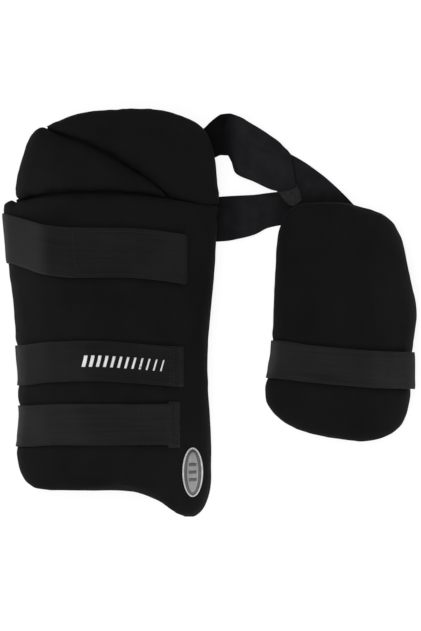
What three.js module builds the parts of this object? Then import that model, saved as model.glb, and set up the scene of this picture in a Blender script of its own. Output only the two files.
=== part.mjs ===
// Cricket thigh guard set, lying face up: a large outer guard and a small inner guard on one waist belt.
// Millimetres. +X runs across the guards to the right, +Y towards the waist, +Z up from the surface.
import * as THREE from "three";

// Main guard
const guardWidth = 214;
const guardLength = 408;
const guardRise = 50;
const guardFoam = 22;
const guardCrown = 0.56; // share of the width at which the arch is highest
const hipDroop = 0.2; // share of the rise that the top end loses

// Inner guard
const innerWidth = 152;
const innerLength = 237;
const innerRise = 36;
const innerFoam = 20;
const innerCrown = 0.52;
const innerDroop = 0.12;
const guardsApart = 47; // between the two guards at their widest
const innerLevel = 1; // top of the inner guard above the right end of the cross crease

// Foam edges, measured inwards from the outline
const freeEdge = 9;
const creaseEdge = 5;
const pillow = 2; // swell of each panel's middle over its edges

// Elastic leg straps, and the hook tape under their free ends
const strapThickness = 1.8;
const tapeThickness = 1.4;
const topStrapWidth = 50;
const middleStrapWidth = 40;
const bottomStrapWidth = 41;
const innerStrapWidth = 37.5;
const strapSlack = 7; // how far the top strap stands off the guard's left shoulder
const strapShoulder = 0.1; // where it does, as a share of the width

// Waist belt
const beltThickness = 1.8;
const beltWidth = 50;
const linkWidth = 40;
const tongueWidth = 24;
const beltHeight = 12; // of the closure above the surface

// Badge
const badgeWidth = 22;
const badgeHeight = 50;
const badgeThickness = 1.2;

// Room kept between pieces that touch
const clearance = 0.3;
const beltClearance = 0.6;

// How finely the shapes are cut
const outlineStep = 14;
const rimSteps = 3;
const innerRings = 4;
const deepestRim = 0.5; // share of the way to a panel's middle that its rim may take
const longestStep = 24;
const spanSteps = 4;
const ovalSegments = 14;

// Creases, in shares of the main guard's width and length from its lower left corner
const crossCrease = [
  { across: 0.061, along: 0.777 },
  { across: 0.145, along: 0.787 },
  { across: 0.262, along: 0.794 },
  { across: 0.397, along: 0.797 },
  { across: 0.533, along: 0.795 },
  { across: 0.673, along: 0.791 },
  { across: 0.788, along: 0.783 },
  { across: 0.879, along: 0.775 },
  { across: 1.0, along: 0.767 },
];
// It runs down to the cross crease, which gives its last point
const diagonalCrease = [
  { across: 0.206, along: 0.952 },
  { across: 0.28, along: 0.936 },
  { across: 0.397, along: 0.914 },
  { across: 0.505, along: 0.887 },
  { across: 0.603, along: 0.855 },
  { across: 0.673, along: 0.833 },
  { across: 0.734, along: 0.808 },
];
const creaseMeeting = 0.79; // share of the width at which the two creases meet

// Middles of the main guard's panels, from which every point of their outlines is in sight
const panelMiddles = {
  thigh: { across: 0.5, along: 0.41 },
  side: { across: 0.34, along: 0.856 },
  hip: { across: 0.74, along: 0.885 },
};

// Free edges between the crease ends, anticlockwise, in the same shares
const thighEdge = [
  { across: 0.023, along: 0.768 },
  { across: 0.012, along: 0.759 },
  { across: 0.012, along: 0.738 },
  { across: 0.019, along: 0.691 },
  { across: 0.03, along: 0.625 },
  { across: 0.047, along: 0.556 },
  { across: 0.063, along: 0.478 },
  { across: 0.075, along: 0.404 },
  { across: 0.082, along: 0.324 },
  { across: 0.084, along: 0.262 },
  { across: 0.077, along: 0.208 },
  { across: 0.072, along: 0.159 },
  { across: 0.084, along: 0.118 },
  { across: 0.112, along: 0.088 },
  { across: 0.159, along: 0.071 },
  { across: 0.243, along: 0.069 },
  { across: 0.407, along: 0.069 },
  { across: 0.57, along: 0.069 },
  { across: 0.645, along: 0.064 },
  { across: 0.706, along: 0.05 },
  { across: 0.762, along: 0.029 },
  { across: 0.813, along: 0.011 },
  { across: 0.86, along: 0.001 },
  { across: 0.897, along: 0.002 },
  { across: 0.93, along: 0.017 },
  { across: 0.953, along: 0.044 },
  { across: 0.967, along: 0.083 },
  { across: 0.97, along: 0.135 },
  { across: 0.967, along: 0.194 },
  { across: 0.96, along: 0.262 },
  { across: 0.951, along: 0.336 },
  { across: 0.951, along: 0.404 },
  { across: 0.96, along: 0.471 },
  { across: 0.974, along: 0.544 },
  { across: 0.986, along: 0.625 },
  { across: 0.995, along: 0.699 },
];
const sideEdge = [
  { across: 0.16, along: 0.95 },
  { across: 0.13, along: 0.934 },
  { across: 0.108, along: 0.904 },
  { across: 0.084, along: 0.865 },
  { across: 0.066, along: 0.826 },
];
const hipEdge = [
  { across: 0.995, along: 0.806 },
  { across: 0.991, along: 0.851 },
  { across: 0.981, along: 0.892 },
  { across: 0.962, along: 0.926 },
  { across: 0.935, along: 0.953 },
  { across: 0.902, along: 0.968 },
  { across: 0.85, along: 0.98 },
  { across: 0.766, along: 0.993 },
  { across: 0.678, along: 1.0 },
  { across: 0.598, along: 1.0 },
  { across: 0.5, along: 0.998 },
  { across: 0.4, along: 0.994 },
  { across: 0.32, along: 0.985 },
  { across: 0.256, along: 0.971 },
];

// Long edges that each guard rests on, as shares of its width and length
const mainFooting = [
  { along: 0, left: 0.075, right: 0.965 },
  { along: 0.15, left: 0.075, right: 0.968 },
  { along: 0.28, left: 0.084, right: 0.957 },
  { along: 0.4, left: 0.075, right: 0.951 },
  { along: 0.54, left: 0.05, right: 0.973 },
  { along: 0.68, left: 0.02, right: 0.992 },
  { along: 0.77, left: 0.03, right: 1.0 },
  { along: 1, left: 0.075, right: 0.995 },
];
const innerFooting = [
  { along: 0, left: 0.02, right: 0.95 },
  { along: 0.2, left: 0.005, right: 0.957 },
  { along: 0.36, left: 0.049, right: 0.97 },
  { along: 0.54, left: 0.063, right: 1.0 },
  { along: 0.7, left: 0.074, right: 0.952 },
  { along: 0.85, left: 0.085, right: 0.9 },
  { along: 1, left: 0.1, right: 0.87 },
];

// Inner guard's outline, anticlockwise, in shares of its own width and length
const innerEdge = [
  { across: 0.237, along: 0.998 },
  { across: 0.178, along: 0.981 },
  { across: 0.132, along: 0.949 },
  { across: 0.102, along: 0.895 },
  { across: 0.082, along: 0.819 },
  { across: 0.076, along: 0.717 },
  { across: 0.066, along: 0.591 },
  { across: 0.059, along: 0.464 },
  { across: 0.049, along: 0.359 },
  { across: 0.023, along: 0.262 },
  { across: 0.003, along: 0.203 },
  { across: 0.01, along: 0.165 },
  { across: 0.059, along: 0.118 },
  { across: 0.145, along: 0.072 },
  { across: 0.257, along: 0.04 },
  { across: 0.401, along: 0.019 },
  { across: 0.539, along: 0.006 },
  { across: 0.684, along: 0.0 },
  { across: 0.789, along: 0.019 },
  { across: 0.875, along: 0.051 },
  { across: 0.924, along: 0.093 },
  { across: 0.947, along: 0.152 },
  { across: 0.957, along: 0.211 },
  { across: 0.967, along: 0.287 },
  { across: 0.97, along: 0.38 },
  { across: 0.987, along: 0.464 },
  { across: 1.0, along: 0.54 },
  { across: 0.99, along: 0.591 },
  { across: 0.961, along: 0.667 },
  { across: 0.934, along: 0.751 },
  { across: 0.908, along: 0.831 },
  { across: 0.875, along: 0.89 },
  { across: 0.822, along: 0.932 },
  { across: 0.75, along: 0.962 },
  { across: 0.645, along: 0.981 },
  { across: 0.539, along: 0.998 },
  { across: 0.395, along: 1.0 },
];

// Straps. root, tape and tip are shares of the guard's width, level is a share of its length.
// drift moves the strap's middle line by shares of its own width: reach is -1 at the root under the guard,
// 0 at the left turn and 1 at the free end.
const straps = [
  {
    name: "top", width: topStrapWidth, slack: strapSlack, level: 0.647,
    root: 0.95, tape: 0.34, tip: 0.848, tapePast: 0.012, tapeWidth: 0.92,
    drift: [
      { reach: -1, shift: -0.36 },
      { reach: 0, shift: 0.3 },
      { reach: 0.07, shift: 0.23 },
      { reach: 0.25, shift: 0.045 },
      { reach: 0.39, shift: 0 },
      { reach: 0.65, shift: 0 },
      { reach: 0.83, shift: -0.045 },
      { reach: 1, shift: -0.13 },
    ],
  },
  {
    name: "middle", width: middleStrapWidth, slack: 0, level: 0.382,
    root: 0.93, tape: 0.64, tip: 0.808, tapePast: 0.035, tapeWidth: 1.0,
    drift: [
      { reach: -1, shift: 0 },
      { reach: 0, shift: -0.1 },
      { reach: 0.22, shift: -0.01 },
      { reach: 0.5, shift: 0.02 },
      { reach: 0.7, shift: -0.02 },
      { reach: 0.9, shift: -0.09 },
      { reach: 1, shift: -0.125 },
    ],
  },
  {
    name: "bottom", width: bottomStrapWidth, slack: 0, level: 0.23,
    root: 0.93, tape: 0.63, tip: 0.79, tapePast: 0.037, tapeWidth: 1.12,
    drift: [
      { reach: -1, shift: 0 },
      { reach: 0, shift: -0.06 },
      { reach: 0.3, shift: -0.01 },
      { reach: 1, shift: 0 },
    ],
  },
];
const innerStrap = {
  width: innerStrapWidth, slack: 0, level: 0.316,
  root: 0.958, tape: 0.33, tip: 0.947, tapePast: -0.01, tapeWidth: 0.86,
  drift: [
    { reach: -1, shift: -0.12 },
    { reach: 0, shift: 0.17 },
    { reach: 0.3, shift: 0.05 },
    { reach: 0.53, shift: -0.03 },
    { reach: 0.76, shift: -0.1 },
    { reach: 1, shift: -0.13 },
  ],
};

// Belt routes. across is a share of the space between the guards from the main guard's right edge, up a share
// of the hip's height over the cross crease, lift a share of the closure's height, and width of the band's own.
// turn is the heading in degrees of a line straight across the band, and tilt how far its upper end is raised.
// seat is the share of the way up to the underside of the guard that the band's first end is sewn to.
const backRoute = [
  { across: -0.96, up: 0.568, seat: 1, lift: 0, turn: 90, tilt: 0, width: 1 },
  { across: -0.55, up: 0.6, seat: 0.4, lift: 0, turn: 90, tilt: 0, width: 1 },
  { across: -0.15, up: 0.66, seat: 0, lift: 0.4, turn: 90, tilt: 8, width: 1 },
  { across: 0.15, up: 0.732, seat: 0, lift: 1.4, turn: 92, tilt: 30, width: 0.96 },
  { across: 0.49, up: 0.647, seat: 0, lift: 1.5, turn: 76, tilt: 16, width: 0.96 },
  { across: 0.87, up: 0.505, seat: 0, lift: 1.25, turn: 64, tilt: 4, width: 0.94 },
  { across: 1.2, up: 0.384, seat: 0, lift: 1, turn: 58, tilt: 0, width: 0.84 },
  { across: 1.43, up: 0.285, seat: 0, lift: 1, turn: 46, tilt: 0, width: 0.66 },
];
const frontRoute = [
  { across: -0.45, up: -0.158, lift: 0, turn: 90, tilt: 0, width: 0.84 },
  { across: -0.04, up: -0.158, lift: 0, turn: 90, tilt: 0, width: 0.84 },
  { across: 0.4, up: -0.14, lift: 0.45, turn: 90, tilt: 0, width: 0.83 },
  { across: 0.81, up: -0.11, lift: 0.35, turn: 86, tilt: 0, width: 0.75 },
  { across: 1.09, up: -0.063, lift: 0.05, turn: 82, tilt: 0, width: 0.63 },
  { across: 1.45, up: -0.15, lift: 0, turn: 80, tilt: 0, width: 0.56 },
];
// The link's route is in shares of the inner guard's width and of the belt's width over its top edge
const linkRoute = [
  { across: 0.57, up: -0.56, seat: 1, turn: 48, tilt: 0, width: 1 },
  { across: 0.43, up: -0.2, seat: 0.5, turn: 48, tilt: 0, width: 1 },
  { across: 0.29, up: 0.18, seat: 0, turn: 49, tilt: 0, width: 1 },
  { across: 0.17, up: 0.48, seat: 0, turn: 50, tilt: 0, width: 1 },
  { across: 0.07, up: 0.74, seat: 0, turn: 50, tilt: 0, width: 0.96 },
];
const tongueRoute = [
  { across: 1.17, up: 0.35, turn: 56, tilt: 0, width: 1 },
  { across: 1.4, up: 0.21, turn: 44, tilt: 0, width: 1 },
  { across: 1.58, up: 0.09, turn: 20, tilt: 0, width: 0.95 },
  { across: 1.67, up: 0.005, turn: 8, tilt: 0, width: 0.75 },
];

// Badge, in shares of the main guard's width and length
const badgePlace = { across: 0.886, along: 0.113 };

// Colours and finishes
const padCloth = { color: 0x181617, roughness: 0.95, metalness: 0 };
const elastic = { color: 0x1e2020, roughness: 0.85, metalness: 0 };
const hookTape = { color: 0x2a2b2b, roughness: 0.8, metalness: 0 };
const badgeFoil = { color: 0x8d8f92, roughness: 0.4, metalness: 0.6 };

// Straps and belt lie on the surface, and the guards lie on them
const bandLayer = Math.max(strapThickness, beltThickness) + clearance;

// A guard is a place, a size and an arch. Its foam follows the arch and rests on its two long edges.
const mainGuard = {
  left: 0, bottom: 0, width: guardWidth, length: guardLength,
  rise: guardRise, foam: guardFoam, crown: guardCrown, droop: hipDroop, droopFrom: 0.78,
  footing: mainFooting,
};
const creaseTop = crossCrease[crossCrease.length - 1].along * guardLength;
const innerGuard = {
  left: guardWidth + guardsApart, bottom: creaseTop + innerLevel - innerLength,
  width: innerWidth, length: innerLength,
  rise: innerRise, foam: innerFoam, crown: innerCrown, droop: innerDroop, droopFrom: 0.55,
  footing: innerFooting,
};

// Height and slope of the arch's middle surface at x, y
function archAt(guard, x, y) {
  const along = (y - guard.bottom) / guard.length;
  const left = guard.left + guard.width * follow(guard.footing, "along", "left", along);
  const right = guard.left + guard.width * follow(guard.footing, "along", "right", along);
  const crown = THREE.MathUtils.lerp(left, right, guard.crown);
  const reach = x < crown ? crown - left : right - crown;
  const radius = (reach * reach + guard.rise * guard.rise) / (2 * guard.rise);
  const out = THREE.MathUtils.clamp(x - crown, -reach, reach);
  const fade = 1 - guard.droop * THREE.MathUtils.smoothstep(along, guard.droopFrom, 1);
  const drop = Math.sqrt(radius * radius - out * out);
  return { height: fade * (drop - radius + guard.rise), slope: (-fade * out) / drop };
}

// Points on a smooth curve through a table's rows, as plan positions on the guard
function planCurve(guard, rows, closed = false) {
  const knots = rows.map((row) => new THREE.Vector3(
    guard.left + row.across * guard.width,
    guard.bottom + row.along * guard.length,
    0,
  ));
  const curve = new THREE.CatmullRomCurve3(knots, closed, "centripetal");
  const count = Math.ceil(curve.getLength() / outlineStep);
  const points = curve.getSpacedPoints(count);
  return closed ? points.slice(0, count) : points;
}

function moved(points, dx, dy) {
  return points.map((point) => new THREE.Vector3(point.x + dx, point.y + dy, 0));
}

// Outlines of the main guard's three panels, which meet at the creases with the clearance between them
function panelOutlines() {
  const half = clearance / 2;
  const after = crossCrease.findIndex((row) => row.across > creaseMeeting);
  const [before, beyond] = [crossCrease[after - 1], crossCrease[after]];
  const share = (creaseMeeting - before.across) / (beyond.across - before.across);
  const meeting = {
    across: creaseMeeting,
    along: THREE.MathUtils.lerp(before.along, beyond.along, share),
  };
  const leftEnd = crossCrease[0];
  const rightEnd = crossCrease[crossCrease.length - 1];
  const start = diagonalCrease[0];
  const crossLeft = planCurve(mainGuard, [...crossCrease.slice(0, after), meeting]);
  const crossRight = planCurve(mainGuard, [meeting, ...crossCrease.slice(after)]);
  const diagonal = planCurve(mainGuard, [...diagonalCrease, meeting]);
  const thighFree = planCurve(mainGuard, [leftEnd, ...thighEdge, rightEnd]);
  const sideFree = planCurve(mainGuard, [start, ...sideEdge, leftEnd]);
  const hipFree = planCurve(mainGuard, [rightEnd, ...hipEdge, start]);

  // The side panel's tip stops short of the meeting point, between the two creases
  const tipBack = -2.5 * clearance;
  const tipUp = 0.9 * clearance;
  const tip = moved(crossLeft.slice(-1), tipBack, tipUp);

  const crease = (points) => points.map((point) => ({ point, edge: creaseEdge }));
  const free = (points) => points.slice(1, -1).map((point) => ({ point, edge: freeEdge }));
  return {
    thigh: [
      ...free(thighFree),
      ...crease(moved(crossRight, 0, -half).reverse()),
      ...crease(moved(crossLeft, 0, -half).reverse().slice(1)),
    ],
    side: [
      ...free(sideFree),
      ...crease(moved(crossLeft.slice(0, -1), 0, half)),
      ...crease(tip),
      ...crease(moved(diagonal.slice(0, -1), -half, -half).reverse()),
    ],
    hip: [
      ...crease(moved(diagonal, half, half)),
      ...crease(moved(crossRight.slice(1), 0, half)),
      ...free(hipFree),
    ],
  };
}

// A closed body from its vertices and triangles
function body(vertices, triangles) {
  const geometry = new THREE.BufferGeometry();
  const numbers = vertices.flatMap((vertex) => [vertex.x, vertex.y, vertex.z]);
  geometry.setAttribute("position", new THREE.Float32BufferAttribute(numbers, 3));
  geometry.setIndex(triangles.flat());
  geometry.computeVertexNormals();
  return geometry;
}

// Padded panel: rings run inwards from the rim over the top, and again underneath
function paddedPanel(guard, outline, centre) {
  const count = outline.length;
  const edges = outline.map((entry, i) => {
    const last = outline[(i + count - 1) % count].edge;
    const next = outline[(i + 1) % count].edge;
    return (last + 2 * entry.edge + next) / 4;
  });
  const levels = [];
  for (let step = 1; step <= rimSteps; step += 1) {
    const angle = (step / rimSteps) * (Math.PI / 2);
    levels.push({ inset: 1 - Math.cos(angle), fill: Math.sin(angle), inward: 0 });
  }
  for (let ring = 1; ring < innerRings; ring += 1) {
    levels.push({ inset: 1, fill: 1, inward: ring / innerRings });
  }
  const place = (x, y, fill, inward, side) => {
    const { height, slope } = archAt(guard, x, y);
    const half = (guard.foam / 2) * Math.sqrt(1 + slope * slope);
    const swell = side > 0 ? pillow * inward * (2 - inward) : 0;
    return new THREE.Vector3(x, y, height + side * half * fill + swell);
  };
  const vertices = outline.map(({ point }) => place(point.x, point.y, 0, 0, 1));
  const triangles = [];
  for (const side of [1, -1]) {
    let outer = 0;
    const quad = (a, b, c, d) => {
      triangles.push(side > 0 ? [a, b, c] : [a, c, b]);
      triangles.push(side > 0 ? [a, c, d] : [a, d, c]);
    };
    for (const level of levels) {
      const inner = vertices.length;
      outline.forEach(({ point }, i) => {
        const arm = Math.hypot(point.x - centre.x, point.y - centre.y);
        const rim = Math.min(edges[i], arm * deepestRim);
        const share = (1 - (level.inset * rim) / arm) * (1 - level.inward);
        const x = centre.x + (point.x - centre.x) * share;
        const y = centre.y + (point.y - centre.y) * share;
        vertices.push(place(x, y, level.fill, level.inward, side));
      });
      for (let i = 0; i < count; i += 1) {
        const next = (i + 1) % count;
        quad(outer + i, outer + next, inner + next, inner + i);
      }
      outer = inner;
    }
    const middle = vertices.length;
    vertices.push(place(centre.x, centre.y, 1, 1, side));
    for (let i = 0; i < count; i += 1) {
      const next = (i + 1) % count;
      triangles.push(side > 0 ? [outer + i, outer + next, middle] : [outer + i, middle, outer + next]);
    }
  }
  return { vertices, triangles };
}

function lowest(vertices) {
  return Math.min(...vertices.map((vertex) => vertex.z));
}

function raise(vertices, by) {
  vertices.forEach((vertex) => vertex.setZ(vertex.z + by));
}

// Height of a body's top (side 1) or underside (side -1) over a plan position
function faceHeight({ vertices, triangles }, x, y, side) {
  let best = -Infinity;
  for (const [i, j, k] of triangles) {
    const [a, b, c] = [vertices[i], vertices[j], vertices[k]];
    const area = (b.x - a.x) * (c.y - a.y) - (c.x - a.x) * (b.y - a.y);
    if (Math.abs(area) < 1e-9) continue;
    const u = ((b.x - x) * (c.y - y) - (c.x - x) * (b.y - y)) / area;
    const v = ((c.x - x) * (a.y - y) - (a.x - x) * (c.y - y)) / area;
    const w = 1 - u - v;
    if (Math.min(u, v, w) < -1e-9) continue;
    best = Math.max(best, side * (u * a.z + v * b.z + w * c.z));
  }
  return side * best;
}

// Smooth value through a table's rows that never overshoots them
function follow(rows, key, column, at) {
  const last = rows.length - 1;
  const found = rows.findIndex((row) => row[key] >= at);
  const i = found < 0 ? last - 1 : THREE.MathUtils.clamp(found - 1, 0, last - 1);
  const slope = (n) => (rows[n + 1][column] - rows[n][column]) / (rows[n + 1][key] - rows[n][key]);
  const tangent = (n) => {
    if (n === 0) return slope(0);
    if (n === last) return slope(last - 1);
    const [a, b] = [slope(n - 1), slope(n)];
    return a * b <= 0 ? 0 : (2 * a * b) / (a + b);
  };
  const span = rows[i + 1][key] - rows[i][key];
  const t = THREE.MathUtils.clamp((at - rows[i][key]) / span, 0, 1);
  const ease = t * t * (3 - 2 * t);
  const startPull = t * (1 - t) * (1 - t) * span * tangent(i);
  const endPull = t * t * (t - 1) * span * tangent(i + 1);
  return THREE.MathUtils.lerp(rows[i][column], rows[i + 1][column], ease) + startPull + endPull;
}

// Points in x, z that bound the part of a body between two levels of y
function slabPoints({ vertices, triangles }, low, high) {
  const points = vertices.filter((v) => v.y >= low && v.y <= high).map(({ x, z }) => ({ x, z }));
  for (const triangle of triangles) {
    triangle.forEach((corner, i) => {
      const [a, b] = [vertices[corner], vertices[triangle[(i + 1) % 3]]];
      for (const level of [low, high]) {
        if ((a.y - level) * (b.y - level) < 0) {
          const cut = a.clone().lerp(b, (level - a.y) / (b.y - a.y));
          points.push({ x: cut.x, z: cut.z });
        }
      }
    });
  }
  return points;
}

// Convex ring round points in the x, z plane, clockwise from its lowest right corner
function tautRing(points) {
  const sorted = [...points].sort((a, b) => a.x - b.x || a.z - b.z);
  const turn = (a, b, c) => (b.x - a.x) * (c.z - a.z) - (b.z - a.z) * (c.x - a.x);
  const chain = (list) => {
    const kept = [];
    for (const point of list) {
      while (kept.length > 1 && turn(kept[kept.length - 2], kept[kept.length - 1], point) <= 1e-6) kept.pop();
      kept.push(point);
    }
    return kept.slice(0, -1);
  };
  const ring = [...chain(sorted), ...chain([...sorted].reverse())].reverse();
  const middle = (sorted[0].x + sorted[sorted.length - 1].x) / 2;
  const rightHalf = ring.filter((point) => point.x > middle);
  const first = ring.indexOf(rightHalf.reduce((best, point) => (point.z < best.z ? point : best)));
  return [...ring.slice(first), ...ring.slice(0, first)];
}

// Points of the ring from where it passes fromX to where it last passes toX, with long runs cut into steps
function cutRing(ring, fromX, toX) {
  const whole = [...ring, ring[0]];
  const fine = [];
  for (let i = 0; i < whole.length - 1; i += 1) {
    const [a, b] = [whole[i], whole[i + 1]];
    const steps = Math.max(1, Math.ceil(Math.hypot(b.x - a.x, b.z - a.z) / longestStep));
    for (let step = 0; step < steps; step += 1) {
      fine.push({
        x: THREE.MathUtils.lerp(a.x, b.x, step / steps),
        z: THREE.MathUtils.lerp(a.z, b.z, step / steps),
      });
    }
  }
  const crossing = (a, b, x) => ({ x, z: THREE.MathUtils.lerp(a.z, b.z, (x - a.x) / (b.x - a.x)) });
  const turnAt = leftmost(fine);
  const start = fine.findIndex((point, i) => i > 0 && i <= turnAt && point.x < fromX);
  const stop = fine.findIndex((point, i) => i > turnAt && point.x > toX);
  const end = stop < 0 ? fine.length : stop;
  const beyond = stop < 0 ? ring[0] : fine[stop];
  return [
    crossing(fine[start - 1], fine[start], fromX),
    ...fine.slice(start, end),
    crossing(fine[end - 1], beyond, toX),
  ];
}

// The path pushed outwards by a distance, corner for corner
function pushed(path, distance) {
  const normals = path.slice(1).map((point, i) => {
    const run = Math.hypot(point.x - path[i].x, point.z - path[i].z);
    return { x: -(point.z - path[i].z) / run, z: (point.x - path[i].x) / run };
  });
  return path.map((point, i) => {
    const a = normals[Math.max(i - 1, 0)];
    const b = normals[Math.min(i, normals.length - 1)];
    const size = distance / (1 + a.x * b.x + a.z * b.z);
    return { x: point.x + (a.x + b.x) * size, z: point.z + (a.z + b.z) * size };
  });
}

// Closed band whose four corners at each station are given in turn round the section
function band(sections) {
  const vertices = sections.flat();
  const triangles = [];
  const last = sections.length - 1;
  for (let i = 0; i < last; i += 1) {
    for (let side = 0; side < 4; side += 1) {
      const next = (side + 1) % 4;
      const [a, b] = [4 * i + side, 4 * i + next];
      triangles.push([a, b + 4, a + 4]);
      triangles.push([a, b, b + 4]);
    }
  }
  triangles.push([0, 2, 1], [0, 3, 2]);
  triangles.push([4 * last, 4 * last + 1, 4 * last + 2], [4 * last, 4 * last + 2, 4 * last + 3]);
  return { vertices, triangles };
}

// Band that lies on a path in x, z, with its middle line drifting along y
function wrapped(path, lift, thickness, width, middleAt) {
  const inside = pushed(path, lift);
  const outside = pushed(path, lift + thickness);
  return band(path.map((point, i) => {
    const middle = middleAt(point, i);
    return [
      new THREE.Vector3(inside[i].x, middle - width / 2, inside[i].z),
      new THREE.Vector3(inside[i].x, middle + width / 2, inside[i].z),
      new THREE.Vector3(outside[i].x, middle + width / 2, outside[i].z),
      new THREE.Vector3(outside[i].x, middle - width / 2, outside[i].z),
    ];
  }));
}

// The part of a path that lies on the front, past its left turn, from fromX on
function frontOf(path, fromX) {
  const turnAt = leftmost(path);
  return path.slice(turnAt).filter((point) => point.x >= fromX);
}

function leftmost(path) {
  return path.reduce((best, point, i) => (point.x < path[best].x ? i : best), 0);
}

// Leg strap and its hook tape: taut round the guard's section, flat on the surface underneath, with the tape
// between strap and foam
function legStrap(guard, panel, strap, loop = false) {
  const at = (share) => guard.left + share * guard.width;
  const level = guard.bottom + strap.level * guard.length;
  const shifts = strap.drift.map((row) => row.shift * strap.width);
  const low = level + Math.min(...shifts) - strap.width / 2;
  const high = level + Math.max(...shifts) + strap.width / 2;
  const foam = slabPoints(panel, low, high);
  const left = Math.min(...foam.map((point) => point.x));
  const right = Math.max(...foam.map((point) => point.x));
  foam.push({ x: left + freeEdge, z: bandLayer }, { x: right - freeEdge, z: bandLayer });
  const tipX = at(strap.tip);
  const middleAt = (x, end, side) => {
    const reach = THREE.MathUtils.clamp((x - left) / (end - left), 0, 1);
    return level + strap.width * follow(strap.drift, "reach", "shift", side * reach);
  };

  const aroundFoam = cutRing(tautRing(foam), at(strap.root), at(strap.tip + strap.tapePast));
  const tapePath = frontOf(aroundFoam, at(strap.tape));
  const tape = wrapped(tapePath, clearance, tapeThickness, strap.width * strap.tapeWidth,
    (point) => middleAt(point.x, tipX, 1));

  const overTape = pushed(tapePath, clearance + tapeThickness);
  const shoulderX = at(strapShoulder);
  const shoulder = { x: shoulderX, z: faceHeight(panel, shoulderX, level, 1) + strap.slack };
  const ring = tautRing([...foam, ...overTape, ...(strap.slack > 0 ? [shoulder] : [])]);
  const path = loop ? loopPath(ring, at(strap.root), tipX) : cutRing(ring, at(strap.root), tipX);
  const turnAt = leftmost(path);
  const rootX = Math.max(...path.slice(0, turnAt).map((point) => point.x));
  const strapBand = wrapped(path, clearance, strapThickness, strap.width, (point, i) => (
    i < turnAt ? middleAt(point.x, rootX, -1) : middleAt(point.x, tipX, 1)
  ));
  return { strapBand, tape };
}

// Path all the way round a ring: from just past the free end, over the right edge, underneath and back on top
function loopPath(ring, fromX, toX) {
  const lap = cutRing(ring, ring[0].x - clearance, toX);
  const rightAt = ring.reduce((best, point, i) => (point.x > ring[best].x ? i : best), 0);
  const side = ring.slice(rightAt);
  const top = ring.slice(0, rightAt).filter((point) => point.x > fromX && point.z > ring[rightAt].z);
  return [...top, ...side, ring[0], ...lap];
}

// Ribbon along a table of stations
function ribbon(rows, width, thickness, placeAt) {
  const keyed = rows.map((row, i) => ({ ...row, station: i }));
  const at = (column, t) => follow(keyed, "station", column, t);
  const count = (rows.length - 1) * spanSteps;
  const stations = Array.from({ length: count + 1 }, (_, i) => i / spanSteps);
  const centres = stations.map((t) => placeAt((column) => at(column, t)));
  return band(stations.map((t, i) => {
    const ahead = centres[Math.min(i + 1, count)].clone().sub(centres[Math.max(i - 1, 0)]).normalize();
    const turn = THREE.MathUtils.degToRad(at("turn", t));
    const tilt = THREE.MathUtils.degToRad(at("tilt", t));
    const across = new THREE.Vector3(
      Math.cos(turn) * Math.cos(tilt),
      Math.sin(turn) * Math.cos(tilt),
      Math.sin(tilt),
    );
    const up = new THREE.Vector3().crossVectors(ahead, across).normalize();
    const half = across.multiplyScalar((width * at("width", t)) / 2);
    const thick = up.multiplyScalar(thickness / 2);
    const corner = (a, b) => centres[i].clone().addScaledVector(half, a).addScaledVector(thick, b);
    return [corner(-1, -1), corner(1, -1), corner(1, 1), corner(-1, 1)];
  }));
}

// Flat oval badge laid on the foam, clear of every corner of the mesh beneath it
function badgePlate(panel) {
  const x = mainGuard.left + badgePlace.across * guardWidth;
  const y = mainGuard.bottom + badgePlace.along * guardLength;
  const { slope } = archAt(mainGuard, x, y);
  const rises = panel.vertices
    .filter((v) => Math.abs(v.x - x) < badgeWidth && Math.abs(v.y - y) < badgeHeight)
    .map((v) => v.z - slope * (v.x - x));
  const seat = Math.max(...rises) + clearance;
  const shape = new THREE.Shape();
  shape.absellipse(0, 0, badgeWidth / 2, badgeHeight / 2, 0, Math.PI * 2);
  const geometry = new THREE.ExtrudeGeometry(shape, {
    depth: badgeThickness, bevelEnabled: false, curveSegments: ovalSegments,
  });
  geometry.rotateY(-Math.atan(slope));
  geometry.translate(x, y, seat);
  return geometry;
}

function mesh(name, geometry, finish) {
  const piece = new THREE.Mesh(geometry, new THREE.MeshStandardMaterial(finish));
  piece.name = name;
  return piece;
}

// Foam panels
const outlines = panelOutlines();
const onMain = ({ across, along }) => ({ x: across * guardWidth, y: along * guardLength });
const thigh = paddedPanel(mainGuard, outlines.thigh, onMain(panelMiddles.thigh));
const side = paddedPanel(mainGuard, outlines.side, onMain(panelMiddles.side));
const hip = paddedPanel(mainGuard, outlines.hip, onMain(panelMiddles.hip));
const innerOutline = planCurve(innerGuard, innerEdge, true)
  .map((point) => ({ point, edge: freeEdge }));
const inner = paddedPanel(innerGuard, innerOutline, {
  x: innerGuard.left + innerWidth / 2,
  y: innerGuard.bottom + innerLength / 2,
});
const mainPanels = [thigh, side, hip];
const mainLift = bandLayer - Math.min(...mainPanels.map((panel) => lowest(panel.vertices)));
mainPanels.forEach((panel) => raise(panel.vertices, mainLift));
raise(inner.vertices, bandLayer - lowest(inner.vertices));

const guards = new THREE.Group();
const add = (name, shape, finish) => {
  guards.add(mesh(name, shape.isBufferGeometry ? shape : body(shape.vertices, shape.triangles), finish));
};
add("thigh_panel", thigh, padCloth);
add("side_panel", side, padCloth);
add("hip_panel", hip, padCloth);
add("inner_pad", inner, padCloth);

// Straps
for (const strap of straps) {
  const { strapBand, tape } = legStrap(mainGuard, thigh, strap);
  add(`strap_${strap.name}`, strapBand, elastic);
  add(`tab_${strap.name}`, tape, hookTape);
}
const innerLoop = legStrap(innerGuard, inner, innerStrap, true);
add("inner_strap", innerLoop.strapBand, elastic);
add("inner_tab", innerLoop.tape, hookTape);

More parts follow.
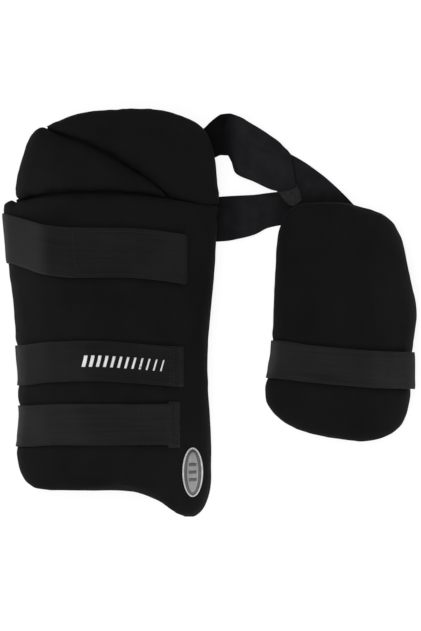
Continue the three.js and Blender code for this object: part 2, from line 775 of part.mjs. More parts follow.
// Waist belt
const hipHeight = guardLength - creaseTop;
const beltRest = beltThickness / 2;
const tongueLevel = beltHeight - beltThickness / 2 - beltClearance - tapeThickness / 2;
const linkLevel = tongueLevel - tapeThickness / 2 - beltClearance - beltThickness / 2;
const betweenGuards = (at) => ({
  x: guardWidth + at("across") * guardsApart,
  y: creaseTop + at("up") * hipHeight,
});
const overInner = (at) => ({
  x: innerGuard.left + at("across") * innerWidth,
  y: innerGuard.bottom + innerLength + at("up") * beltWidth,
});
const lifted = (at) => THREE.MathUtils.lerp(beltRest, beltHeight, at("lift"));

// Level at which the first end of a route, square across its band, just clears the underside of a guard
function seatUnder(panel, route, width, planAt) {
  const root = planAt((column) => route[0][column]);
  const turn = THREE.MathUtils.degToRad(route[0].turn);
  const heights = [-1, -0.5, 0, 0.5, 1].map((share) => faceHeight(
    panel,
    root.x + (share * width * Math.cos(turn)) / 2,
    root.y + (share * width * Math.sin(turn)) / 2,
    -1,
  ));
  return Math.min(...heights) - beltClearance - beltThickness / 2;
}

const backSeat = seatUnder(hip, backRoute, beltWidth, betweenGuards);
const linkSeat = seatUnder(inner, linkRoute, linkWidth, overInner);
add("belt_back", ribbon(backRoute, beltWidth, beltThickness, (at) => {
  const { x, y } = betweenGuards(at);
  return new THREE.Vector3(x, y, THREE.MathUtils.lerp(lifted(at), backSeat, at("seat")));
}), elastic);
add("belt_front", ribbon(frontRoute, beltWidth, beltThickness, (at) => {
  const { x, y } = betweenGuards(at);
  return new THREE.Vector3(x, y, lifted(at));
}), elastic);
add("belt_tongue", ribbon(tongueRoute, tongueWidth, tapeThickness, (at) => {
  const { x, y } = betweenGuards(at);
  return new THREE.Vector3(x, y, tongueLevel);
}), hookTape);
add("belt_side", ribbon(linkRoute, linkWidth, beltThickness, (at) => {
  const { x, y } = overInner(at);
  return new THREE.Vector3(x, y, THREE.MathUtils.lerp(linkLevel, linkSeat, at("seat")));
}), elastic);

add("badge", badgePlate(thigh), badgeFoil);

// Origin at the middle of the footprint, on the surface
const box = new THREE.Box3().setFromObject(guards);
const middle = box.getCenter(new THREE.Vector3());
guards.position.set(-middle.x, -middle.y, -box.min.z);
guards.updateMatrixWorld(true);

export default guards;
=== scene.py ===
import math

import bmesh
import bpy
import numpy as np
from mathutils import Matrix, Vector, noise
from mathutils.bvhtree import BVHTree


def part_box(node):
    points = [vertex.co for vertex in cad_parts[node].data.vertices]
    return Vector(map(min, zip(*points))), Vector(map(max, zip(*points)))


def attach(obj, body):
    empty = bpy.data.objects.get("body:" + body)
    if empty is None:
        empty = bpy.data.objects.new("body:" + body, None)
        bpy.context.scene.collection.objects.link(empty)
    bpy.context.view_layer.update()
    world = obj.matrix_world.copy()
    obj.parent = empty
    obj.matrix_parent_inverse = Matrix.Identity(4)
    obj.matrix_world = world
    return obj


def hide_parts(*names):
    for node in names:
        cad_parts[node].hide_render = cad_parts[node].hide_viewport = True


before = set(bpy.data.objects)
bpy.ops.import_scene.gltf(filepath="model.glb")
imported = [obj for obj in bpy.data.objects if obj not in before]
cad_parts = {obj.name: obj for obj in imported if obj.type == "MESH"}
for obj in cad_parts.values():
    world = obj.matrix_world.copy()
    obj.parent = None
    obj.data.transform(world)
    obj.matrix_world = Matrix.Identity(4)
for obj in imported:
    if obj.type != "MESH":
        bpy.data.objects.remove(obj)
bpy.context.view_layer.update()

MM = 0.001

# Sizes that the solids have too
GUARD_WIDTH = 214 * MM
GUARD_LENGTH = 408 * MM
INNER_WIDTH = 152 * MM
INNER_LENGTH = 237 * MM
GUARDS_APART = 47 * MM
STRAP_THICKNESS = 1.8 * MM
TAPE_THICKNESS = 1.4 * MM
BELT_THICKNESS = 1.8 * MM
BELT_WIDTH = 50 * MM
LINK_WIDTH = 40 * MM
TONGUE_WIDTH = 24 * MM
FREE_EDGE = 9 * MM
CLEARANCE = 0.3 * MM
BAND_LAYER = STRAP_THICKNESS + CLEARANCE

# Creases in shares of the main guard's width and length
CROSS_CREASE = [
    (0.061, 0.777), (0.145, 0.787), (0.262, 0.794), (0.397, 0.797), (0.533, 0.795),
    (0.673, 0.791), (0.788, 0.783), (0.879, 0.775), (1.0, 0.767),
]
DIAGONAL_CREASE = [
    (0.206, 0.952), (0.28, 0.936), (0.397, 0.914), (0.505, 0.887),
    (0.603, 0.855), (0.673, 0.833), (0.734, 0.808), (0.79, 0.783),
]
PANEL_MIDDLES = {"thigh_panel": (0.5, 0.41), "side_panel": (0.34, 0.856), "hip_panel": (0.74, 0.885)}

# Straps: root, tip, tape, tape_past, shoulder, pressed and stitched are shares of the guard's width, level is a
# share of its length and tape_width of the strap's own width. pressed is where the foam begins to sink under
# the strap, stitched where its stitched box begins, and proud how far its free end reaches past the tip.
# Each row of drift is reach, -1 at the root under the guard to 1 at the free end, and shift in strap widths.
STRAPS = {
    "top": {
        "guard": "main", "pad": "thigh_panel", "nodes": ("strap_top", "tab_top"), "width": 50 * MM,
        "slack": 7 * MM, "shoulder": 0.2, "level": 0.647, "root": 0.95, "tape": 0.34, "tip": 0.848, "proud": 0,
        "tape_past": 0.012, "tape_width": 0.92, "pressed": 0.35, "stitched": 0.338,
        "drift": [(-1, -0.36), (0, 0.3), (0.07, 0.23), (0.25, 0.045), (0.39, 0), (0.65, 0),
                  (0.83, -0.045), (1, -0.13)],
    },
    "middle": {
        "guard": "main", "pad": "thigh_panel", "nodes": ("strap_middle", "tab_middle"), "width": 40 * MM,
        "slack": 0, "level": 0.382, "root": 0.93, "tape": 0.64, "tip": 0.808, "proud": 0,
        "tape_past": 0.035, "tape_width": 1.0, "pressed": -0.5, "stitched": 0.645,
        "drift": [(-1, 0), (0, -0.1), (0.22, -0.01), (0.5, 0.02), (0.7, -0.02), (0.9, -0.09),
                  (1, -0.125)],
    },
    "bottom": {
        "guard": "main", "pad": "thigh_panel", "nodes": ("strap_bottom", "tab_bottom"), "width": 41 * MM,
        "slack": 0, "level": 0.23, "root": 0.93, "tape": 0.63, "tip": 0.79, "proud": 0,
        "tape_past": 0.037, "tape_width": 1.12, "pressed": -0.5, "stitched": 0.635,
        "drift": [(-1, 0), (0, -0.06), (0.3, -0.01), (1, 0)],
    },
    "inner": {
        "guard": "inner", "pad": "inner_pad", "nodes": ("inner_strap", "inner_tab"), "width": 37.5 * MM,
        "slack": 0, "level": 0.316, "root": 0.958, "tape": 0.33, "tip": 0.947, "proud": 3.4 * MM,
        "tape_past": -0.01, "tape_width": 0.86, "pressed": -0.5, "stitched": 0.345,
        "drift": [(-1, -0.12), (0, 0.17), (0.3, 0.05), (0.53, -0.03), (0.76, -0.1), (1, -0.13)],
    },
}

# Belt bands: plan place, height in millimetres, heading and tilt of a line straight across, width
# across is a share of the space between the guards, up a share of the hip's height over the cross crease
BACK_ROUTE = [
    (-0.95, 0.551, 13.0, 90, 0, 0.74), (-0.57, 0.562, 11.5, 90, 0, 0.71), (-0.293, 0.609, 9.5, 90, 0, 0.72),
    (-0.155, 0.668, 7.0, 90, 2, 0.74), (-0.038, 0.705, 4.6, 90, 3, 0.79), (0.089, 0.738, 2.6, 90, 3, 0.82),
    (0.215, 0.741, 2.2, 90, 3, 0.84), (0.25, 0.74, 6.0, 90, 6, 0.84), (0.262, 0.738, 11.0, 90, 10, 0.84),
    (0.225, 0.737, 16.5, 90, 14, 0.85), (0.222, 0.737, 20.0, 90, 16, 0.85), (0.25, 0.735, 22.3, 89, 17, 0.87),
    (0.33, 0.7, 22.5, 88, 17, 0.97), (0.515, 0.605, 21.0, 81, 12, 1.12), (0.877, 0.512, 16.5, 81, 4, 1.05),
    (1.217, 0.418, 13.4, 83, 0, 1.0), (1.451, 0.366, 12.6, 87, 0, 0.84), (1.632, 0.358, 12.2, 99, 0, 0.66),
]
FRONT_ROUTE = [
    (-0.442, -0.153, 0.9, 90, 0, 0.9), (-0.038, -0.153, 1.0, 90, 0, 0.9), (0.2, -0.147, 1.8, 90, 0, 0.9),
    (0.46, -0.133, 7.0, 90, -3, 0.87), (0.813, -0.106, 7.5, 90, -3, 0.8), (1.089, -0.06, 3.5, 90, 0, 0.7),
    (1.441, -0.038, 1.2, 92, 0, 0.66),
    (1.77, -0.069, 0.9, 90, 0, 0.52),
]
TONGUE_ROUTE = [
    (1.217, 0.288, 9.8, 23, 0, 1.08), (1.48, 0.183, 9.8, 22, 0, 0.86), (1.595, 0.099, 9.8, 28, 0, 0.8),
    (1.68, 0.033, 9.6, 33, 0, 0.6), (1.735, 0.015, 9.4, 37, 0, 0.4),
]
# In shares of the inner guard's width and of the belt's width over its top edge
LINK_ROUTE = [
    (0.547, -0.456, 27.0, 61, 0, 1.02), (0.448, -0.152, 17.0, 62, 0, 1.06), (0.353, 0.142, 9.4, 62, 0, 1.02),
    (0.264, 0.364, 7.6, 67, 0, 1.01), (0.175, 0.575, 7.6, 70, 0, 0.94), (0.075, 0.74, 7.6, 68, 0, 0.9),
]

scene = bpy.context.scene

# Where the guards stand in the frame
BADGE_ALONG = 0.113
INNER_OVER_CREASE = 1 * MM
MAIN_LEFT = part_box("strap_top")[1].x - STRAPS["top"]["root"] * GUARD_WIDTH
badge_low, badge_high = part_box("badge")
MAIN_BOTTOM = (badge_low.y + badge_high.y) / 2 - BADGE_ALONG * GUARD_LENGTH
CREASE_RIGHT = MAIN_BOTTOM + CROSS_CREASE[-1][1] * GUARD_LENGTH
INNER_LEFT = MAIN_LEFT + GUARD_WIDTH + GUARDS_APART
INNER_BOTTOM = CREASE_RIGHT + INNER_OVER_CREASE - INNER_LENGTH
GUARDS = {
    "main": (MAIN_LEFT, MAIN_BOTTOM, GUARD_WIDTH, GUARD_LENGTH),
    "inner": (INNER_LEFT, INNER_BOTTOM, INNER_WIDTH, INNER_LENGTH),
}


def on_guard(across, along, guard="main"):
    """The place in plan of a share of a guard's width and a share of its length."""
    left, bottom, width, length = GUARDS[guard]
    return np.array([left + across * width, bottom + along * length])


def strap_x(strap, share):
    """Where a share of the guard's width, or the share that the strap has under that name, lies."""
    return on_guard(strap.get(share, share), 0, strap["guard"])[0]


# Small tools
def follow(rows, at):
    """Smooth values through a table whose first column rises, never past its neighbours."""
    keys = np.array([row[0] for row in rows], float)
    values = np.array([row[1] for row in rows], float)
    at = np.clip(np.asarray(at, float), keys[0], keys[-1])
    slopes = np.diff(values) / np.diff(keys)
    tangents = np.empty_like(values)
    tangents[0] = slopes[0]
    tangents[-1] = slopes[-1]
    for n in range(1, len(values) - 1):
        a, b = slopes[n - 1], slopes[n]
        tangents[n] = 0 if a * b <= 0 else 2 * a * b / (a + b)
    i = np.clip(np.searchsorted(keys, at) - 1, 0, len(keys) - 2)
    span = keys[i + 1] - keys[i]
    t = (at - keys[i]) / span
    ease = t * t * (3 - 2 * t)
    pull = t * (1 - t) * span * ((1 - t) * tangents[i] - t * tangents[i + 1])
    return values[i] + (values[i + 1] - values[i]) * ease + pull


def smooth_between(low, high, value):
    t = np.clip((np.asarray(value, float) - low) / (high - low), 0, 1)
    return t * t * (3 - 2 * t)


def blurred(table, axis, passes):
    """The table with its neighbours mixed in along one axis, ends kept."""
    table = np.moveaxis(table.copy(), axis, 0)
    for _ in range(passes):
        table[1:-1] = 0.25 * table[:-2] + 0.5 * table[1:-1] + 0.25 * table[2:]
    return np.moveaxis(table, 0, axis)


def runs_along(points):
    """How far along their path the points lie."""
    return np.concatenate([[0], np.cumsum(np.linalg.norm(np.diff(points, axis=0), axis=1))])


def along_path(points, count):
    """The path's points again, count of them, evenly spaced."""
    reached = runs_along(points)
    wanted = np.linspace(0, reached[-1], count)
    return np.column_stack([np.interp(wanted, reached, points[:, i]) for i in range(points.shape[1])])


def polar(points, middle):
    """Angle and distance of each point from the middle, seen from above."""
    arms = points[:, :2] - middle
    return np.arctan2(arms[:, 1], arms[:, 0]), np.hypot(arms[:, 0], arms[:, 1])


def noise_over(points, size, shift=(0, 0, 0)):
    """Smooth noise at each point, with waves of about that size."""
    values = [noise.noise(Vector(point) / size + Vector(shift)) for point in points.reshape(-1, 3)]
    return np.array(values).reshape(points.shape[:-1])


def ring_faces(count, sides, closed):
    """Faces between rings that follow each other, with the two ends filled where they aren't joined."""
    faces = []
    for r in range(count if closed else count - 1):
        a, b = r * sides, (r + 1) % count * sides
        for s in range(sides):
            t = (s + 1) % sides
            faces.append((a + s, a + t, b + t, b + s))
    if not closed:
        faces.append(tuple(range(sides))[::-1])
        faces.append(tuple((count - 1) * sides + s for s in range(sides)))
    return faces


def piece_from(name, vertices, faces, material, uvs=None, smooth=True):
    mesh = bpy.data.meshes.new(name)
    mesh.from_pydata([tuple(v) for v in vertices], [], faces)
    if uvs is not None:
        layer = mesh.uv_layers.new(name="UVMap")
        loop_vertices = np.empty(len(mesh.loops), np.int32)
        mesh.loops.foreach_get("vertex_index", loop_vertices)
        layer.data.foreach_set("uv", np.asarray(uvs, np.float32)[loop_vertices].ravel())
    mesh.polygons.foreach_set("use_smooth", [smooth] * len(mesh.polygons))
    mesh.update()
    piece = bpy.data.objects.new(name, mesh)
    scene.collection.objects.link(piece)
    mesh.materials.append(material)
    return piece


def per_vertex(values, key):
    flat = np.empty(len(values) * 3, np.float32)
    values.foreach_get(key, flat)
    return flat.reshape(-1, 3).astype(float)


def coordinates(mesh):
    return per_vertex(mesh.vertices, "co")


def vertex_normals(mesh):
    return per_vertex(mesh.vertex_normals, "vector")


def place_coordinates(mesh, points):
    mesh.vertices.foreach_set("co", points.astype(np.float32).ravel())
    mesh.update()


def paint(piece, name, values):
    """Numbers on the piece's points, which its material reads by that name."""
    layer = piece.data.attributes.new(name, "FLOAT", "POINT")
    layer.data.foreach_set("value", np.asarray(values, np.float32))


def with_modifiers(piece):
    """The piece's mesh as its modifiers make it now, in place of its own."""
    shown = piece.evaluated_get(bpy.context.evaluated_depsgraph_get())
    made = bpy.data.meshes.new_from_object(shown)
    piece.modifiers.clear()
    old = piece.data
    piece.data = made
    bpy.data.meshes.remove(old)
    return piece


def dressed(piece, slot, *nodes):
    """Enters a piece in the frame: what it rides on and the solids it stands for, which it hides. slot is not
    used.
    """
    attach(piece, "root")
    for node in nodes:
        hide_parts(node)


# Materials
class Shader:
    """A material under construction, with its nodes made by short calls."""

    def __init__(self, name, roughness, specular, sheen=0.0, sheen_roughness=0.5, metallic=0.0):
        self.material = bpy.data.materials.new(name)
        self.material.use_nodes = True
        self.tree = self.material.node_tree
        self.skin = self.tree.nodes["Principled BSDF"].inputs
        self.skin["Roughness"].default_value = roughness
        self.skin["Specular IOR Level"].default_value = specular
        self.skin["Sheen Weight"].default_value = sheen
        self.skin["Sheen Roughness"].default_value = sheen_roughness
        self.skin["Metallic"].default_value = metallic

    def fill(self, socket, value):
        """Sets a socket to a number or colour, or joins another node's output to it."""
        if isinstance(value, bpy.types.NodeSocket):
            self.tree.links.new(value, socket)
        else:
            socket.default_value = value

    def node(self, kind, inputs, output, **settings):
        """That output of a new node, with its inputs given by name or number."""
        made = self.tree.nodes.new(kind)
        for key, value in settings.items():
            setattr(made, key, value)
        for key, value in inputs.items():
            self.fill(made.inputs[key], value)
        return made.outputs[output]

    def place(self, source, scale=(1, 1, 1)):
        """Coordinates of the surface, stretched by scale along each axis."""
        where = self.node("ShaderNodeTexCoord", {}, source)
        return self.node("ShaderNodeMapping", {"Vector": where, "Scale": scale}, "Vector")

    def noise(self, vector, scale, detail, rough=0.5):
        inputs = {"Vector": vector, "Scale": scale, "Detail": detail, "Roughness": rough}
        return self.node("ShaderNodeTexNoise", inputs, "Fac")

    def waves(self, vector, scale, axis, wobble, wobble_scale):
        inputs = {"Vector": vector, "Scale": scale, "Distortion": wobble, "Detail Scale": wobble_scale}
        return self.node("ShaderNodeTexWave", inputs, "Fac", wave_type="BANDS", bands_direction=axis)

    def math(self, operation, first, second):
        return self.node("ShaderNodeMath", {0: first, 1: second}, "Value", operation=operation)

    def scaled(self, value, factor, start):
        return self.math("ADD", self.math("MULTIPLY", value, factor), start)

    def part_each(self, first, share, second):
        """Two values added, the first at its share and the second at the rest."""
        return self.math("ADD", self.math("MULTIPLY", first, share), self.math("MULTIPLY", second, 1 - share))

    def ramp(self, factor, *stops):
        """A colour between two stops, each a factor and its colour."""
        colour = self.node("ShaderNodeValToRGB", {"Fac": factor}, "Color")
        for element, (position, shade) in zip(colour.node.color_ramp.elements, stops):
            element.position = position
            element.color = (*shade, 1)
        return colour

    def painted(self, name):
        """A number painted on the piece's points, which is 0 where none is."""
        return self.node("ShaderNodeAttribute", {}, "Fac", attribute_name=name)

    def mix(self, first, second, factor=1, way="MULTIPLY"):
        inputs = {"Factor": factor, 6: first, 7: second}
        return self.node("ShaderNodeMix", inputs, 2, data_type="RGBA", blend_type=way)

    def bump(self, height, distance, strength, **below):
        inputs = {"Height": height, "Distance": distance, "Strength": strength, **below}
        return self.node("ShaderNodeBump", inputs, "Normal")

    def finished(self, colour, normal=None, rough=None):
        """The material, once its colour, surface and roughness are joined to it."""
        for key, value in (("Base Color", colour), ("Normal", normal), ("Roughness", rough)):
            if value is not None:
                self.fill(self.skin[key], value)
        return self.material


def grey(value, warmth=1.0, coolness=1.0):
    return (value * warmth, value, value * coolness)


# How sharply the cloth turns into the lining, per millimetre, and the pitches of the weaves
LINING_EDGE = 3
KNIT_WALE = 1.1 * MM
ELASTIC_RIB = 1.5 * MM
ELASTIC_PICK = 0.7 * MM
BRUSHED_RIB = 2.2 * MM


def knit_material(name, cloth, lining):
    """Close black knit over foam, paler where it is painted as lining, with faint cloudy wear."""
    shader = Shader(name, roughness=0.95, specular=0.02, sheen=0.008)
    where = shader.place("Object")
    wales = shader.waves(where, 1 / KNIT_WALE, "X", 1.2, 3.0)
    courses = shader.waves(where, 1.3 / KNIT_WALE, "Y", 1.2, 3.0)
    knit = shader.math("MULTIPLY", wales, courses)
    clouds = shader.noise(where, 26, 3)
    wear = shader.part_each(clouds, 0.65, shader.noise(where, 900, 2))
    front = shader.ramp(wear, (0.3, cloth[0]), (0.72, cloth[1]))
    under = shader.ramp(wear, (0.3, lining[0]), (0.72, lining[1]))
    lined = shader.math("MULTIPLY", shader.painted("lining"), LINING_EDGE)
    shade = shader.ramp(knit, (0.0, grey(0.8)), (0.7, grey(1.0)))
    colour = shader.mix(shader.mix(front, under, lined, "MIX"), shade)
    grain = shader.bump(knit, 0.25 * MM, 0.5)
    lumps = shader.bump(shader.noise(where, 60, 3), 1.1 * MM, 0.5, Normal=grain)
    return shader.finished(colour, lumps, shader.scaled(clouds, 0.12, 0.84))


def elastic_material(name, dark, light):
    """Woven elastic: ribs along the band, fine picks across them, streaks of worn yarn."""
    shader = Shader(name, roughness=0.8, specular=0.08, sheen=0.03, sheen_roughness=0.4)
    along = shader.place("UV")
    ribs = shader.waves(along, 1 / ELASTIC_RIB, "Y", 0.15, 2.0)
    picks = shader.waves(along, 1 / ELASTIC_PICK, "X", 0.4, 2.0)
    weave = shader.math("MULTIPLY", ribs, shader.scaled(picks, 0.35, 0.65))
    streaks = shader.noise(shader.place("UV", (12, 420, 1)), 1.0, 3)
    cloud = shader.noise(shader.place("UV", (30, 30, 1)), 1.0, 2)
    colour = shader.ramp(shader.part_each(streaks, 0.6, cloud), (0.34, dark), (0.66, light))
    shade = shader.ramp(weave, (0.0, grey(0.62)), (0.75, grey(1.0)))
    ridges = shader.bump(weave, 0.45 * MM, 0.7)
    return shader.finished(shader.mix(colour, shade), ridges, shader.scaled(streaks, 0.2, 0.66))


def brushed_material(name, dark, light):
    """Brushed elastic with a short pile, darker where painted shade is laid on its points."""
    shader = Shader(name, roughness=0.9, specular=0.0, sheen=0.006)
    along = shader.place("UV")
    pile = shader.noise(along, 1500, 3, 0.7)
    ribs = shader.waves(along, 1 / BRUSHED_RIB, "Y", 1.2, 4.0)
    surface = shader.part_each(pile, 0.7, ribs)
    colour = shader.ramp(shader.noise(along, 70, 3), (0.32, dark), (0.68, light))
    shade = shader.ramp(surface, (0.25, grey(0.7)), (0.65, grey(1.0)))
    # Painted shade: the colour falls to 0.4 of itself where the painted shade number on the band is 1
    painted_shade = shader.ramp(shader.painted("painted_shade"), (0.0, grey(1.0)), (1.0, grey(0.4)))
    colour = shader.mix(shader.mix(colour, painted_shade), shade)
    return shader.finished(colour, shader.bump(surface, 0.5 * MM, 0.6))


def hook_material(name, dark, light):
    """Hook tape: close rows of tiny nylon hooks."""
    shader = Shader(name, roughness=0.6, specular=0.12, sheen=0.02)
    along = shader.place("UV")
    inputs = {"Vector": along, "Scale": 700, "Randomness": 0.35}
    hooks = shader.node("ShaderNodeTexVoronoi", inputs, "Distance", feature="F1")
    specks = shader.noise(along, 520, 2)
    colour = shader.ramp(specks, (0.36, dark), (0.62, light))
    tips = shader.ramp(hooks, (0.1, grey(1.3)), (0.5, grey(0.6)))
    return shader.finished(shader.mix(colour, tips), shader.bump(specks, 0.6 * MM, 0.6))


def foil_material(name, dark, light, roughness, metallic):
    """Printed foil with fine brushing and a little rubbing."""
    shader = Shader(name, roughness=roughness, specular=0.5, metallic=metallic)
    rubbed = shader.noise(shader.place("Object"), 160, 4)
    fine = shader.noise(shader.place("Object", (2600, 260, 2600)), 1.0, 2)
    mixed = shader.part_each(rubbed, 0.6, fine)
    colour = shader.ramp(mixed, (0.3, dark), (0.65, light))
    normal = shader.bump(fine, 0.05 * MM, 0.3)
    return shader.finished(colour, normal, shader.scaled(mixed, 0.25, roughness - 0.1))


def thread_material(name, dark, light):
    """Twisted polyester thread."""
    shader = Shader(name, roughness=0.7, specular=0.15, sheen=0.02)
    fuzz = shader.noise(shader.place("Object"), 2400, 2)
    return shader.finished(shader.ramp(fuzz, (0.3, dark), (0.7, light)), shader.bump(fuzz, 0.1 * MM, 0.5))


pad_cloth = knit_material("pad_knit", (grey(0.0078, 1.07, 1.03), grey(0.0114, 1.07, 1.03)),
                          (grey(0.016, 1.04, 1.0), grey(0.025, 1.04, 1.0)))
# How light each strap's elastic is, next to the top one
ELASTIC_TONE = {"top": 1.0, "middle": 0.86, "bottom": 1.16, "inner": 1.3}
elastic_cloth = {}
for name, tone in ELASTIC_TONE.items():
    dark, light = grey(0.0118 * tone, 0.98, 1.0), grey(0.0196 * tone, 0.98, 1.0)
    elastic_cloth[name] = elastic_material("ribbed_elastic_" + name, dark, light)
belt_cloth = brushed_material("brushed_elastic", grey(0.0145, 0.99, 1.1), grey(0.0198, 0.99, 1.1))
hook_cloth = hook_material("hook_tape", grey(0.0115), grey(0.024))
strap_hook_cloth = hook_material("strap_hook_tape", grey(0.0075), grey(0.0155))
thread = thread_material("dark_thread", grey(0.013), grey(0.024))
seam_cloth = thread_material("seam_thread", grey(0.006), grey(0.012))


# Foam pads
# Along the creases, by share of the guard's width: how far they are let down, and half their open width
CROSS_DROP = [
    (0, 1.6 * MM), (0.25, 1.6 * MM), (0.45, 1.7 * MM), (0.55, 1.0 * MM), (0.7, 1.4 * MM),
    (0.83, 2.4 * MM), (1, 2.4 * MM),
]
SLANT_DROP = [(0.2, -0.6 * MM), (0.35, 0.2 * MM), (0.5, 0.9 * MM), (0.64, 2.0 * MM), (0.8, 1.6 * MM)]
CROSS_ROOM = [
    (0, 0.7 * MM), (0.17, 1.25 * MM), (0.5, 1.35 * MM), (0.7, 1.0 * MM), (0.8, -0.2 * MM), (1, -0.4 * MM),
]
SLANT_ROOM = [(0.2, 0.5 * MM), (0.3, 1.0 * MM), (0.5, 0.95 * MM), (0.6, 0.1 * MM), (0.8, -0.3 * MM)]
CREASE_CLOSE = 12 * MM
CREASE_BESIDE = 2 * MM
CREASE_BINS = 26
SLOPE_SPOTS = 60
CREASE_SINK = 4.2 * MM
CREASE_SOFT = 8.5 * MM
CREASE_FADES = 0.5
PAD_VOXEL = 4.2 * MM
PAD_SHRINK = 1.2 * MM
PAD_SWELL = 2.6 * MM
PAD_PRESSURE = 4
CLOTH_FRAMES = 20
RIM_RAYS = 520
RAY_ANGLES = -math.pi + (np.arange(RIM_RAYS) + 0.5) * 2 * math.pi / RIM_RAYS
RAY_HALF = 2.6 * MM
# What the coarse net and the cloth take off each pad's rim
RIM_GAIN = {"thigh_panel": 1.7 * MM, "side_panel": 0.7 * MM, "hip_panel": 0.9 * MM, "inner_pad": 0.9 * MM}
RIM_SMOOTHING = 6
# Corners that the cloth rounds too much: shares of the guard's width and length, and how far out they go
CORNERS = {
    "thigh_panel": [(0.012, 0.766, 1.9 * MM), (1.0, 0.771, 1.4 * MM)],
    "side_panel": [(0.193, 0.952, 2.8 * MM)],
    "hip_panel": [(0.22, 0.967, 2.4 * MM), (1.01, 0.79, 2.0 * MM)],
    "inner_pad": [],
}
CORNER_SIZE = 11 * MM
# How far each pad sits from its solid in plan, as it does in the photograph
PLAN_SHIFT = {
    "thigh_panel": (-0.1 * MM, 0.8 * MM), "side_panel": (0.0, 0.0),
    "hip_panel": (1.0 * MM, -0.8 * MM), "inner_pad": (0.7 * MM, -0.2 * MM),
}
WAVE_REACH = 0.9 * MM
WAVE_SIZE = 38 * MM
WAVE_SHIFT = 3.7
PRESS_DEPTH = 1.3 * MM
PRESS_LIP = 0.7 * MM
PRESS_FADE = 30 * MM


def crease_line(rows, drops):
    """A crease in plan, let down to where it shows in the photograph."""
    return np.array([on_guard(a, b) - (0, follow(drops, a)) for a, b in rows])


cross = crease_line(CROSS_CREASE, CROSS_DROP)
slant = crease_line(DIAGONAL_CREASE, SLANT_DROP)
meeting = slant[-1:]
cross_left = np.vstack([cross[cross[:, 0] < meeting[0, 0]], meeting])
cross_right = np.vstack([meeting, cross[cross[:, 0] > meeting[0, 0]]])
# The creases of each panel: the line, 1 where the panel lies above it and -1 below, and its open width
PANEL_CREASES = {
    "thigh_panel": [(cross, -1, CROSS_ROOM)],
    "side_panel": [(cross_left, 1, CROSS_ROOM), (slant, -1, SLANT_ROOM)],
    "hip_panel": [(slant, 1, SLANT_ROOM), (cross_right, 1, CROSS_ROOM)],
    "inner_pad": [],
}


def gap_to(line, points):
    """How far each point is from a crease, seen from above."""
    x = np.linspace(line[0, 0], line[-1, 0], 200)
    y = follow(line, x)
    return np.hypot(points[:, None, 0] - x[None, :], points[:, None, 1] - y[None, :]).min(axis=1)


def close_to_creases(points, panel):
    """Moves the rim beside each crease up to it, so that the panels meet in a tight line."""
    for line, side, rooms in PANEL_CREASES[panel]:
        x, y = points[:, 0], points[:, 1]
        first, last = line[0, 0], line[-1, 0]
        spots = np.linspace(first, last, SLOPE_SPOTS)
        slope = np.gradient(follow(line, spots), (last - first) / (SLOPE_SPOTS - 1))
        lean = np.cos(np.arctan(np.interp(x, spots, slope)))
        away = side * (y - follow(line, x)) * lean
        over = (x > first - CREASE_BESIDE) & (x < last + CREASE_BESIDE)
        bins = np.linspace(first, last, CREASE_BINS + 1)
        nearest = np.zeros(CREASE_BINS)
        for i in range(CREASE_BINS):
            inside = over & (x >= bins[i] - CREASE_BESIDE) & (x < bins[i + 1] + CREASE_BESIDE)
            if inside.any():
                nearest[i] = away[inside].min()
        nearest = blurred(np.clip(nearest, -3 * MM, 3 * MM), 0, 5)
        room = follow(rooms, (x - MAIN_LEFT) / GUARD_WIDTH)
        gap = np.interp(x, (bins[:-1] + bins[1:]) / 2, nearest) - room
        fade = np.where(over, 1 - smooth_between(0, CREASE_CLOSE, away - gap), 0)
        points[:, 1] = y - side * gap * fade / np.maximum(lean, 0.5)
        beyond = side * (points[:, 1] - follow(line, x)) * lean
        short = over & (beyond < room) & (beyond > -4 * MM)
        points[:, 1] = np.where(short, points[:, 1] + side * (room - beyond) / lean, points[:, 1])
    return points


def sunk_at_creases(points, normals, panel):
    """Rounds the panel's front down towards its creases, less and less towards the right."""
    for line, _, _ in PANEL_CREASES[panel]:
        near = 1 - smooth_between(0, CREASE_SOFT, gap_to(line, points))
        across = np.clip((points[:, 0] - MAIN_LEFT) / GUARD_WIDTH, 0, 1)
        front = smooth_between(0, 0.4, normals[:, 2])
        points[:, 2] -= CREASE_SINK * near * front * (1 - CREASE_FADES * across)
    return points


def middle_of(node):
    return on_guard(0.5, 0.5, "inner") if node == "inner_pad" else on_guard(*PANEL_MIDDLES[node])


def rim_reach(points, middle):
    """How far a pad reaches from its middle along each ray, seen from above, and the height there."""
    angles, reach = polar(points, middle)
    far = np.empty(RIM_RAYS)
    height = np.empty(RIM_RAYS)
    for i, angle in enumerate(RAY_ANGLES):
        off = np.abs((angles - angle + math.pi) % (2 * math.pi) - math.pi)
        near = np.where(off * reach < RAY_HALF)[0]
        near = near[np.argsort(reach[near])[-4:]]
        far[i] = reach[near].max()
        height[i] = points[near, 2].mean()
    return far, height


def filled_corners(points, node):
    """The points with the pad's sharper corners pushed back out in plan."""
    for across, along, reach in CORNERS[node]:
        corner = on_guard(across, along)
        outward = corner - middle_of(node)
        outward /= np.linalg.norm(outward)
        near = 1 - smooth_between(0, CORNER_SIZE, polar(points, corner)[1])
        points[:, :2] += outward * (reach * near)[:, None]
    return points


def to_outline(points, cut, middle, gain):
    """Spreads a blown-up pad in plan until its rim is back on the outline that it was cut to."""
    wanted, _ = rim_reach(cut, middle)
    found, _ = rim_reach(points, middle)
    angle, reach = polar(points, middle)
    ratio = blurred(np.tile((wanted + gain) / found, 3), 0, RIM_SMOOTHING)[RIM_RAYS:2 * RIM_RAYS]
    stretch = np.interp(angle, RAY_ANGLES, ratio, period=2 * math.pi)
    share = np.clip(reach / np.interp(angle, RAY_ANGLES, found, period=2 * math.pi), 0, 1)
    points = points.copy()
    points[:, :2] = middle + (points[:, :2] - middle) * (1 + (stretch - 1) * share ** 3)[:, None]
    return points


